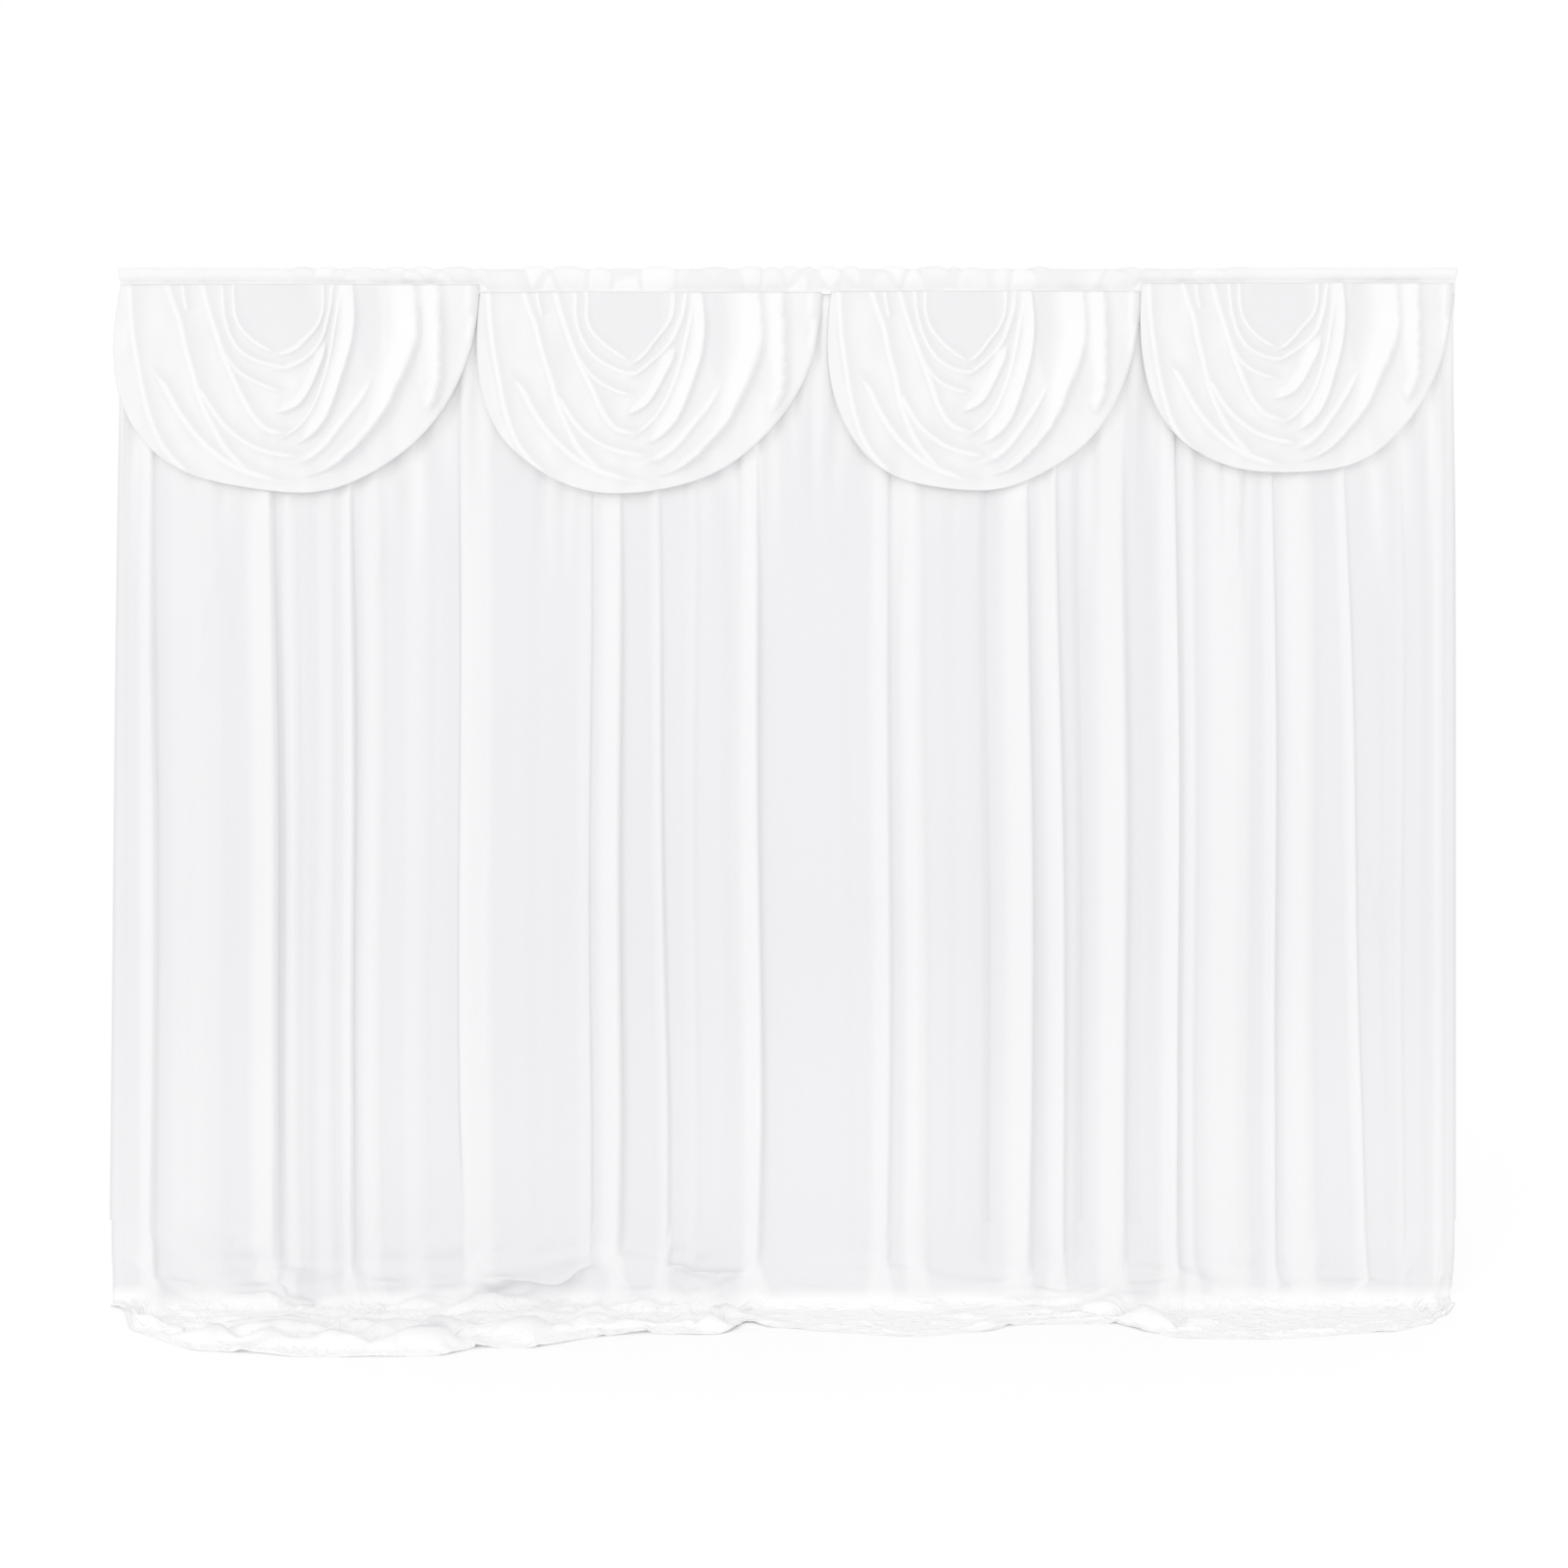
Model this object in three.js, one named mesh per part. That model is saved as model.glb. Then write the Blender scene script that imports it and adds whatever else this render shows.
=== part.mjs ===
// Backdrop curtain: a wide gathered cloth that hangs from a rod pocket and trails on the floor,
// with four half-moon swags sewn along its top.
// Millimetres, +Z up, front towards -Y. The origin is the middle of the top edge.

import * as THREE from 'three';

// Whole object
const DROP = 3050;          // top edge to floor
const CLOTH = 2;            // thickness of a hung sheet
const SEAM_GAP = 0.3;       // between two sewn pieces
const LEFT_EDGE = -1958;    // side edges of the curtain, under the heading
const RIGHT_EDGE = 1980;

// Heading: a rod pocket with a stitched strip below it
const POCKET_RADIUS = 20;   // smallest outer radius of the pocket
const RUCHE = 2;            // how far the gathers swell the pocket
const POCKET_WALL = 2;
const STRIP_THICK = 5;
const HEADING_DROP = 82;    // top edge to the lower edge of the stitched strip
const POCKET_SECTIONS = 34;
const POCKET_SIDES = 10;

// Curtain: its folds open below the heading and reach their full depth lower down
const GATHER_RELEASE = 560; // drop below the heading in which the gathers open
const GROWTH_START = -200;  // drops between which the folds grow to their full depth
const GROWTH_END = 1400;
const SPREAD_LEFT = -30;    // how far the left edge swings out on the way down
const FLAT_STEP = 120;      // widest column of plain cloth between folds
const RISE_HEIGHT = 0.42;   // share of its depth that a fold has halfway up to its crest

// Folds of the curtain, left to right. A fold rises from its left foot to its crest and falls to its
// right foot. Drift is its sideways way from the top to the floor, depth how far it stands forward.
const FOLDS = [
  // left, crest, right, drift, depth
  [-1910, -1866, -1848, 8, 22],
  [-1838, -1720, -1624, 10, 12],
  [-1604, -1522, -1504, 26, 34],
  [-1494, -1462, -1434, 24, 12],
  [-1382, -1344, -1318, 0, 10],
  [-1315, -1285, -1271, 8, 22],
  [-1254, -1214, -1174, 0, 11],
  [-1127, -1084, -1035, 0, 9],
  [-956, -940, -852, 6, 14],
  [-618, -578, -567, 0, 11],
  [-560, -496, -479, 0, 28],
  [-419, -389, -373, 40, 18],
  [-300, -272, -246, 0, 9],
  [-148, -94, -77, 14, 30],
  [248, 300, 318, 0, 20],
  [330, 376, 422, 16, 14],
  [626, 706, 725, 12, 36],
  [734, 787, 803, 34, 26],
  [900, 988, 1014, 6, 30],
  [1100, 1148, 1163, 6, 28],
  [1176, 1202, 1226, 0, 11],
  [1230, 1320, 1404, 0, 20],
  [1406, 1434, 1450, 10, 22],
  [1458, 1517, 1584, 8, 26],
  [1604, 1630, 1646, 78, 18],
  [1798, 1815, 1832, 0, 7],
  [1908, 1924, 1948, 0, 9],
];

// The plain cloth between the folds sways gently: wavelength and height of each wave
const SWAY = [
  // length, phase, height
  [1950, 0.6, 9],
  [920, 2.0, 6],
];

// Heights of the rows of the hung cloth, measured down from the top edge
const HUNG_ROWS = [150, 330, 640, 1150, 2000, 2700];

// The trailing end: how far it reaches forward, the height of the heap where it meets the floor,
// and the height of the puff behind its front edge
const TRAIL = [
  // x, reach, heap, puff
  [-1990, 50, 30, 12],
  [-1945, 80, 40, 20],
  [-1810, 265, 55, 30],
  [-1575, 410, 55, 45],
  [-1450, 395, 60, 30],
  [-1300, 440, 55, 50],
  [-1160, 445, 60, 38],
  [-935, 460, 60, 32],
  [-845, 385, 65, 25],
  [-690, 385, 70, 45],
  [-570, 280, 85, 40],
  [-435, 265, 90, 50],
  [-300, 275, 70, 35],
  [-190, 320, 60, 40],
  [-95, 205, 65, 18],
  [-25, 250, 85, 25],
  [135, 280, 80, 20],
  [360, 325, 70, 14],
  [540, 290, 55, 14],
  [715, 205, 65, 25],
  [940, 190, 85, 30],
  [1000, 265, 75, 25],
  [1105, 310, 65, 20],
  [1345, 320, 50, 14],
  [1685, 275, 40, 16],
  [1820, 210, 40, 16],
  [1885, 150, 40, 14],
  [1990, 50, 30, 12],
];

// Section of the trailing end, from the hung cloth to the hem: share of the reach, shares of the heap
// and puff heights, and the share of a fold's depth that is left there
const TRAIL_SECTION = [
  // forward, heap, puff, fold
  [0.00, 1.9, 0.0, 1.00],
  [0.06, 1.0, 0.0, 0.75],
  [0.24, 1.0, 0.0, 0.45],
  [0.46, 0.45, 0.2, 0.25],
  [0.60, 0.15, 0.5, 0.18],
  [0.76, 0.0, 1.0, 0.15],
  [0.92, 0.0, 0.85, 0.12],
  [1.00, 0.0, 0.25, 0.00],
  [0.97, 0.0, 0.0, 0.00],
];
const TURN_SHARE = 0.24;    // share of the reach in which the upright cloth turns to lie down
const SHORT_REACH = 200;    // a shorter trail than this keeps less of the folds

// Swags, left to right: ends of the sewn top edge, ends of its cup, drop of the sewn edge below the
// top edge of the curtain, depth of the swag, and the pull that bulges its left side
const SWAGS = [
  { left: -1956, right: -902, cupLeft: -1624, cupRight: -1364, sewnDrop: 52, depth: 613, bulge: 100 },
  { left: -894, right: 112, cupLeft: -598, cupRight: -355, sewnDrop: 75, depth: 588, bulge: 60 },
  { left: 140, right: 1050, cupLeft: 448, cupRight: 688, sewnDrop: 72, depth: 588, bulge: 60 },
  { left: 1058, right: 1976, cupLeft: 1387, cupRight: 1636, sewnDrop: 48, depth: 566, bulge: 60 },
];

// Nested folds of a swag: depth at its middle, as a share of the whole, of the trough before each fold
// and of its crest, and how far the crest stands forward
const SWAG_FOLDS = [
  // trough, crest, ridge
  [0.27, 0.33, 14],
  [0.38, 0.43, 18],
  [0.48, 0.53, 20],
  [0.58, 0.65, 24],
  [0.70, 0.77, 24],
  [0.82, 0.89, 20],
];
const HEM_TROUGH = 0.95;      // depth share of the last trough, and the lip of the hem below it
const HEM_LIP = 4;
const CUP_SHARE = 0.27;       // depth of the smooth cup, as a share of the swag
const LEFT_STACK = 1.6;       // how the fold ends crowd towards the cup along the sewn edge
const RIGHT_STACK = 5;
const RIGHT_SPREAD = 0.3;     // share of the right side over which its fold ends are spread evenly
const CUP_HOLLOW = 0.75;      // how far forward the cup hangs, as a share of the folds below it
const MIDDLE_SHIFT = 0.25;    // how far the lowest point moves from the cup's to the swag's middle
const SWAG_LIFT = 60;         // how far the swag stands off at its hem
const SWAG_LIFT_DEPTH = 170;  // depth over which it leaves the heading
const RIDGE_START = 0.2;      // share of a ridge that is left at the sewn edge
const RIDGE_GROWTH = 150;     // depth over which a ridge reaches its height
const HALF_SWAG_STEPS = 9;
const VIEW_DISTANCE = 4500;   // the swags are measured in a picture taken from this far,
const VIEW_DROP = 1527;       // level with this drop, in which nearer cloth looks larger

// Fullness of the hanging lines of a swag, beside the cup and at the hem: how far a line runs straight
// down from its end, as a share of its depth, and level at its middle, as a share of its half width
const FULLNESS = {
  leftDown: [0.5, 0.72],
  rightDown: [0.5, 0.6],
  leftLevel: [0.35, 0.72],
  rightLevel: [0.35, 0.55],
};

// Gathers of the pocket: waves along its whole length, their phase and their share of the swelling
const RUCHE_WAVES = [
  // count, phase, share
  [5.3, 0.8, 0.3],
  [12.7, 2.1, 0.2],
];

// Columns of the table of the trailing end
const REACH = 1;
const HEAP = 2;
const PUFF = 3;

const clothWhite = new THREE.MeshStandardMaterial({ color: 0xf3f3f6, roughness: 0.55, metalness: 0 });
const swagWhite = new THREE.MeshStandardMaterial({ color: 0xf6f6f8, roughness: 0.42, metalness: 0 });

// Value of one column of a table at a place, eased between its rows
function readTable(table, place, column) {
  const last = table.length - 1;
  if (place <= table[0][0]) return table[0][column];
  if (place >= table[last][0]) return table[last][column];
  const next = table.findIndex((row) => row[0] > place);
  const share = (place - table[next - 1][0]) / (table[next][0] - table[next - 1][0]);
  const eased = THREE.MathUtils.smoothstep(share, 0, 1);
  return THREE.MathUtils.lerp(table[next - 1][column], table[next][column], eased);
}

// Forward direction of a sheet at one point of its grid
function sheetNormal(grid, row, column) {
  const lastRow = grid.length - 1;
  const lastColumn = grid[0].length - 1;
  const across = new THREE.Vector3().subVectors(
    grid[row][Math.min(column + 1, lastColumn)],
    grid[row][Math.max(column - 1, 0)],
  );
  const down = new THREE.Vector3().subVectors(
    grid[Math.min(row + 1, lastRow)][column],
    grid[Math.max(row - 1, 0)][column],
  );
  return down.cross(across).normalize();
}

// Closed sheet around a grid of points whose rows run from left to right and from top to bottom
function sheetGeometry(grid, thickness) {
  const rows = grid.length;
  const columns = grid[0].length;
  const points = [];
  for (const side of [1, -1]) {
    grid.forEach((line, row) => line.forEach((point, column) => {
      const offset = sheetNormal(grid, row, column).multiplyScalar(side * thickness / 2);
      points.push(point.clone().add(offset));
    }));
  }
  const front = (row, column) => row * columns + column;
  const back = (row, column) => rows * columns + front(row, column);
  const faces = [];
  const quad = (a, b, c, d) => faces.push(a, b, c, a, c, d);
  for (let row = 0; row < rows - 1; row += 1) {
    for (let column = 0; column < columns - 1; column += 1) {
      quad(front(row, column), front(row + 1, column), front(row + 1, column + 1), front(row, column + 1));
      quad(back(row, column), back(row, column + 1), back(row + 1, column + 1), back(row + 1, column));
    }
    quad(back(row, 0), back(row + 1, 0), front(row + 1, 0), front(row, 0));
    const end = columns - 1;
    quad(front(row, end), front(row + 1, end), back(row + 1, end), back(row, end));
  }
  for (let column = 0; column < columns - 1; column += 1) {
    const end = rows - 1;
    quad(back(0, column), front(0, column), front(0, column + 1), back(0, column + 1));
    quad(front(end, column), back(end, column), back(end, column + 1), front(end, column + 1));
  }
  const geometry = new THREE.BufferGeometry().setFromPoints(points);
  geometry.setIndex(faces);
  geometry.computeVertexNormals();
  return geometry;
}

// Columns of the curtain: place under the heading, sideways drift and forward depth of each
function curtainColumns() {
  const columns = [{ x: LEFT_EDGE, drift: SPREAD_LEFT, depth: 0 }];
  const addFlat = (end) => {
    const start = columns[columns.length - 1];
    const parts = Math.ceil((end.x - start.x) / FLAT_STEP);
    for (let part = 1; part < parts; part += 1) {
      const share = part / parts;
      columns.push({
        x: THREE.MathUtils.lerp(start.x, end.x, share),
        drift: THREE.MathUtils.lerp(start.drift, end.drift, share),
        depth: 0,
      });
    }
    columns.push(end);
  };
  for (const [left, crest, right, drift, depth] of FOLDS) {
    addFlat({ x: left, drift, depth: 0 });
    columns.push({ x: (left + crest) / 2, drift, depth: depth * RISE_HEIGHT });
    columns.push({ x: crest, drift, depth });
    columns.push({ x: right, drift, depth: 0 });
  }
  addFlat({ x: RIGHT_EDGE, drift: 0, depth: 0 });
  return columns;
}

function swayAt(x) {
  return SWAY.reduce((sum, [length, phase, height]) => (
    sum + height * Math.sin(2 * Math.PI * x / length + phase)), 0);
}

// Point of the hung cloth at a drop below the top edge
function hungPoint(column, drop) {
  const opening = THREE.MathUtils.smoothstep(drop, HEADING_DROP, HEADING_DROP + GATHER_RELEASE);
  const growth = THREE.MathUtils.smoothstep(drop, GROWTH_START, GROWTH_END);
  const x = column.x + column.drift * (drop - HEADING_DROP) / (DROP - HEADING_DROP);
  const forward = column.depth + swayAt(column.x);
  return new THREE.Vector3(x, -forward * opening * growth, -drop);
}

function curtainGrid() {
  const columns = curtainColumns();
  const hung = [HEADING_DROP + SEAM_GAP, ...HUNG_ROWS].map((drop) => (
    columns.map((column) => hungPoint(column, drop))));
  const trailing = TRAIL_SECTION.map(([forward, heapShare, puffShare, foldShare]) => (
    columns.map((column) => {
      const foot = hungPoint(column, DROP);
      const reach = readTable(TRAIL, foot.x, REACH);
      const heap = readTable(TRAIL, foot.x, HEAP);
      const puff = readTable(TRAIL, foot.x, PUFF);
      const upright = 1 - Math.min(1, forward / TURN_SHARE);
      const ridge = column.depth * foldShare * (1 - upright) * Math.min(1, reach / SHORT_REACH);
      const y = foot.y * upright - reach * forward;
      const height = heap * heapShare + puff * puffShare + ridge;
      return new THREE.Vector3(foot.x, y, -DROP + CLOTH / 2 + height);
    })));
  return [...hung, ...trailing];
}

// Outline of the heading in the YZ plane at one section: the stitched strip and the pocket above it
function headingOutline(radius) {
  const centre = -(POCKET_RADIUS + RUCHE);
  const half = STRIP_THICK / 2;
  const neck = Math.asin(half / radius);
  const outline = [[-half, -HEADING_DROP]];
  for (let side = 0; side <= POCKET_SIDES; side += 1) {
    const angle = THREE.MathUtils.lerp(neck, 2 * Math.PI - neck, side / POCKET_SIDES);
    outline.push([-radius * Math.sin(angle), centre - radius * Math.cos(angle)]);
  }
  outline.push([half, -HEADING_DROP]);
  return outline;
}

function pocketOutline(radius) {
  const centre = -(POCKET_RADIUS + RUCHE);
  const outline = [];
  for (let side = 0; side < POCKET_SIDES; side += 1) {
    const angle = 2 * Math.PI * side / POCKET_SIDES;
    outline.push([-radius * Math.sin(angle), centre - radius * Math.cos(angle)]);
  }
  return outline;
}

// Swelling of the gathered pocket along its length, from 0 to 1
function rucheAt(share) {
  return RUCHE_WAVES.reduce((sum, [count, phase, part]) => (
    sum + part * (1 + Math.sin(2 * Math.PI * share * count + phase))), 0);
}

function headingGeometry() {
  const points = [];
  const faces = [];
  const outerCount = POCKET_SIDES + 3;
  const sectionSize = outerCount + POCKET_SIDES;
  for (let section = 0; section < POCKET_SECTIONS; section += 1) {
    const share = section / (POCKET_SECTIONS - 1);
    const x = THREE.MathUtils.lerp(LEFT_EDGE, RIGHT_EDGE, share);
    const radius = POCKET_RADIUS + RUCHE * rucheAt(share);
    const loops = [...headingOutline(radius), ...pocketOutline(radius - POCKET_WALL)];
    loops.forEach(([y, z]) => points.push(new THREE.Vector3(x, y, z)));
  }
  const addBand = (section, first, count, outward) => {
    for (let side = 0; side < count; side += 1) {
      const a = section * sectionSize + first + side;
      const b = section * sectionSize + first + (side + 1) % count;
      const c = b + sectionSize;
      const d = a + sectionSize;
      if (outward) faces.push(a, d, c, a, c, b);
      else faces.push(a, b, c, a, c, d);
    }
  };
  for (let section = 0; section < POCKET_SECTIONS - 1; section += 1) {
    addBand(section, 0, outerCount, true);
    addBand(section, outerCount, POCKET_SIDES, false);
  }
  const addEnd = (section, outward) => {
    const flat = (index) => {
      const point = points[section * sectionSize + index];
      return new THREE.Vector2(point.y, point.z);
    };
    const outer = Array.from({ length: outerCount }, (_, side) => flat(side));
    const hole = Array.from({ length: POCKET_SIDES }, (_, side) => flat(outerCount + side));
    for (const [a, b, c] of THREE.ShapeUtils.triangulateShape(outer, [hole])) {
      const corners = [a, b, c].map((index) => section * sectionSize + index);
      faces.push(...(outward ? corners : corners.reverse()));
    }
  };
  addEnd(0, false);
  addEnd(POCKET_SECTIONS - 1, true);
  const geometry = new THREE.BufferGeometry().setFromPoints(points);
  geometry.setIndex(faces);
  geometry.computeVertexNormals();
  return geometry;
}

// Rows of a swag from the cup to the hem: depth share and height of the ridge there
function swagRows() {
  const rows = [[0, 0], [CUP_SHARE / 2, 0]];
  for (const [trough, crest, ridge] of SWAG_FOLDS) {
    rows.push([trough, 0], [crest, ridge]);
  }
  rows.push([HEM_TROUGH, 0], [1, HEM_LIP]);
  return rows;
}

// One hanging line of a swag: a curve from its left end on the sewn edge down to its lowest point
// and up to its right end
function swagLine(swag, share) {
  const { left, right, cupLeft, cupRight, sewnDrop, depth, bulge } = swag;
  const past = Math.max(0, share - CUP_SHARE) / (1 - CUP_SHARE);
  const leftEnd = THREE.MathUtils.lerp(cupLeft, left, past ** LEFT_STACK);
  const rightShare = THREE.MathUtils.lerp(past ** RIGHT_STACK, past, RIGHT_SPREAD);
  const rightEnd = THREE.MathUtils.lerp(cupRight, right, rightShare);
  const middle = THREE.MathUtils.lerp((cupLeft + cupRight) / 2, (left + right) / 2, MIDDLE_SHIFT * past);
  const low = -depth * share;
  const full = (key) => THREE.MathUtils.lerp(...FULLNESS[key], past);
  const point = (x, z) => new THREE.Vector3(x, 0, z - sewnDrop);
  return [
    new THREE.CubicBezierCurve3(
      point(leftEnd, 0),
      point(leftEnd - bulge * past, low * full('leftDown')),
      point(THREE.MathUtils.lerp(middle, leftEnd, full('leftLevel')), low),
      point(middle, low),
    ),
    new THREE.CubicBezierCurve3(
      point(middle, low),
      point(THREE.MathUtils.lerp(middle, rightEnd, full('rightLevel')), low),
      point(rightEnd, low * full('rightDown')),
      point(rightEnd, 0),
    ),
  ];
}

function swagGrid(swag) {
  const sewnFace = STRIP_THICK / 2 + SEAM_GAP + CLOTH / 2;
  return swagRows().map(([share, ridge]) => {
    const [leftHalf, rightHalf] = swagLine(swag, share);
    const line = [
      ...leftHalf.getPoints(HALF_SWAG_STEPS),
      ...rightHalf.getPoints(HALF_SWAG_STEPS).slice(1),
    ];
    const pastCup = THREE.MathUtils.smoothstep(share, 0, CUP_SHARE);
    const hollow = THREE.MathUtils.lerp(CUP_HOLLOW, 1, pastCup);
    return line.map((point) => {
      const below = -point.z - swag.sewnDrop;
      const lift = SWAG_LIFT * (1 - Math.exp(-below / SWAG_LIFT_DEPTH));
      const ridgeShare = Math.min(1, RIDGE_START + below / RIDGE_GROWTH);
      const y = -sewnFace - lift * hollow - ridge * ridgeShare;
      const nearer = 1 + y / VIEW_DISTANCE;
      return point.set(point.x * nearer, y, THREE.MathUtils.lerp(-VIEW_DROP, point.z, nearer));
    });
  });
}

function namedMesh(name, geometry, material) {
  const mesh = new THREE.Mesh(geometry, material);
  mesh.name = name;
  return mesh;
}

const backdrop = new THREE.Group();
backdrop.add(namedMesh('curtain', sheetGeometry(curtainGrid(), CLOTH), clothWhite));
backdrop.add(namedMesh('heading', headingGeometry(), clothWhite));
SWAGS.forEach((swag, index) => {
  backdrop.add(namedMesh(`swag_${index + 1}`, sheetGeometry(swagGrid(swag), CLOTH), swagWhite));
});

export default backdrop;
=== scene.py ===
"""Backdrop curtain: a gathered cloth that trails on the floor, its rod pocket and four swags."""

import math
from collections import namedtuple

import bmesh
import bpy
import numpy as np
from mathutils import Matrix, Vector, noise


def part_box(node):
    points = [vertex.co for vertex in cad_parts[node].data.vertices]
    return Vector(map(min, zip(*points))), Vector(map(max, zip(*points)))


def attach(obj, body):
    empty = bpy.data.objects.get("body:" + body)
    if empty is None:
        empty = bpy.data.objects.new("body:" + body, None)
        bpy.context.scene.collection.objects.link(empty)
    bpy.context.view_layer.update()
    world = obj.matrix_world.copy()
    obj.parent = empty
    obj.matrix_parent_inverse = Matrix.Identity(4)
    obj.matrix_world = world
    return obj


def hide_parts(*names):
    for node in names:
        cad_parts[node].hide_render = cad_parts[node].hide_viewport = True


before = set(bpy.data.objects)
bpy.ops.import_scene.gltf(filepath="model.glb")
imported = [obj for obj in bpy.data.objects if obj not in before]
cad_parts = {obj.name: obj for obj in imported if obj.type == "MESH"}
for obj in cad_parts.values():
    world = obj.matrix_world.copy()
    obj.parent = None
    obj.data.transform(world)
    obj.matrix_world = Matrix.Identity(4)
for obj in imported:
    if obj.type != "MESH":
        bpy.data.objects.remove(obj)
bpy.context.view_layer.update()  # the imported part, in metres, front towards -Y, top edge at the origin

bl_info = {
    "name": "Backdrop Curtain",
    "version": (1, 0, 0),
    "blender": (4, 5, 0),
    "location": "View3D > Sidebar > Backdrop",
    "description": "Dresses the packed backdrop curtain in hung, gathered and trailing cloth",
    "category": "Object",
}

BODY = "root"
HEADING_LOW, HEADING_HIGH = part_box("heading")
LEFT_EDGE = HEADING_LOW.x
RIGHT_EDGE = HEADING_HIGH.x
HEADING_DROP = -HEADING_LOW.z
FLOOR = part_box("curtain")[0].z
DROP = -FLOOR

# Flat sizes of the pieces, width and length, before they are gathered, folded and draped. A swag is cut
# as a half-moon, so its area is given too.
CURTAIN_FLAT = (4.2, 3.5)
HEADING_FLAT = (4.4, 0.2)
SWAG_FLAT = (1.1, 0.8)

# Folds of the curtain, left to right. A fold rises from its left foot to its crest and falls back
# to its right foot. Drift is its sideways way to the floor, tuck how far the crest hangs over, and
# double how fully the cloth lies double there, which makes the thin cloth look whiter. Carried down
# a fold's fall, that whiteness is painted light that lifts the shade at the fold's foot.
Fold = namedtuple("Fold", "left crest right drift depth tuck double")
FOLDS = [Fold(*row) for row in (
    (-1.910, -1.866, -1.848, 0.008, 0.022, 0.004, 0.90),
    (-1.838, -1.720, -1.624, 0.010, 0.012, 0.000, 0.40),
    (-1.604, -1.522, -1.504, 0.026, 0.034, 0.008, 1.00),
    (-1.494, -1.462, -1.434, 0.024, 0.012, 0.000, 0.80),
    (-1.382, -1.344, -1.318, 0.000, 0.010, 0.000, 0.50),
    (-1.315, -1.285, -1.271, 0.008, 0.022, 0.006, 1.00),
    (-1.254, -1.214, -1.174, 0.000, 0.011, 0.000, 0.80),
    (-1.127, -1.084, -1.035, 0.000, 0.009, 0.000, 0.40),
    (-0.956, -0.940, -0.852, 0.006, 0.014, -0.010, 0.90),
    (-0.618, -0.578, -0.567, 0.000, 0.011, 0.001, 0.40),
    (-0.560, -0.496, -0.479, 0.000, 0.028, 0.006, 1.00),
    (-0.419, -0.389, -0.373, 0.040, 0.018, 0.005, 0.70),
    (-0.300, -0.272, -0.246, 0.000, 0.009, 0.000, 0.25),
    (-0.148, -0.094, -0.077, 0.014, 0.030, 0.007, 1.00),
    (0.248, 0.300, 0.318, 0.000, 0.020, 0.002, 0.80),
    (0.330, 0.376, 0.422, 0.016, 0.014, 0.000, 0.90),
    (0.626, 0.706, 0.725, 0.012, 0.036, 0.005, 1.00),
    (0.734, 0.787, 0.803, 0.034, 0.026, 0.005, 1.00),
    (0.900, 0.988, 1.014, 0.006, 0.030, 0.002, 0.90),
    (1.100, 1.148, 1.163, 0.006, 0.028, 0.005, 1.00),
    (1.176, 1.202, 1.226, 0.000, 0.011, 0.000, 0.90),
    (1.230, 1.320, 1.404, 0.000, 0.020, 0.000, 0.80),
    (1.406, 1.434, 1.450, 0.010, 0.022, 0.004, 0.90),
    (1.458, 1.517, 1.584, 0.008, 0.026, 0.000, 0.90),
    (1.604, 1.630, 1.646, 0.078, 0.018, 0.004, 0.90),
    (1.798, 1.815, 1.832, 0.000, 0.007, 0.000, 0.20),
    (1.908, 1.924, 1.948, 0.000, 0.009, 0.000, 0.80),
)]

# Narrow ripples of the hung cloth: place, half width, height, the drops between which they show, and
# their sideways way to the floor
Ripple = namedtuple("Ripple", "x width height top bottom drift")
RIPPLES = [Ripple(*row) for row in (
    (-1.945, 0.010, 0.007, 0.30, 3.05, -0.020),
    (-0.182, 0.010, 0.009, 0.30, 3.05, 0.004),
    (-0.395, 0.008, 0.006, 0.55, 1.60, 0.030),
    (0.045, 0.008, 0.006, 0.35, 1.05, 0.060),
    (0.092, 0.007, 0.007, 0.32, 0.95, 0.170),
    (0.165, 0.014, 0.005, 0.60, 3.05, 0.010),
    (0.470, 0.016, 0.006, 0.60, 3.05, 0.010),
    (0.545, 0.012, 0.005, 0.90, 3.05, 0.000),
    (1.036, 0.009, 0.011, 0.30, 3.05, 0.000),
    (0.602, 0.012, -0.020, 0.45, 3.20, 0.004),
    (0.876, 0.012, -0.020, 0.45, 3.20, 0.004),
    (1.072, 0.008, 0.006, 0.60, 2.60, 0.000),
    (1.309, 0.007, 0.007, 0.62, 1.02, 0.130),
    (1.425, 0.007, 0.007, 0.60, 1.06, -0.380),
    (1.720, 0.014, 0.006, 0.70, 3.05, 0.050),
    (1.871, 0.009, 0.008, 0.40, 3.05, 0.000),
    (-0.760, 0.016, 0.005, 0.60, 3.05, 0.000),
    (-0.690, 0.012, 0.004, 0.90, 3.05, 0.004),
    (-1.000, 0.010, 0.005, 0.60, 2.60, 0.000),
    (-1.405, 0.010, 0.006, 0.60, 3.05, 0.004),
    (-1.760, 0.012, 0.005, 1.20, 3.05, 0.000),
)]

# Short slanting creases: both ends as place and drop, half width and height
Crease = namedtuple("Crease", "x0 drop0 x1 drop1 width height")
CREASES = [Crease(*row) for row in (
    (-1.905, 0.94, -1.858, 1.22, 0.007, 0.006),
    (-1.735, 1.15, -1.640, 0.82, 0.010, 0.007),
    (-1.790, 1.38, -1.660, 1.10, 0.009, 0.006),
    (-1.775, 1.66, -1.700, 1.50, 0.008, 0.005),
    (-1.650, 1.20, -1.625, 0.95, 0.007, 0.005),
    (-1.170, 0.72, -1.225, 1.05, 0.008, 0.006),
    (-0.620, 2.05, -0.560, 1.75, 0.008, 0.004),
    (1.690, 1.60, 1.735, 2.05, 0.008, 0.006),
)]

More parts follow.
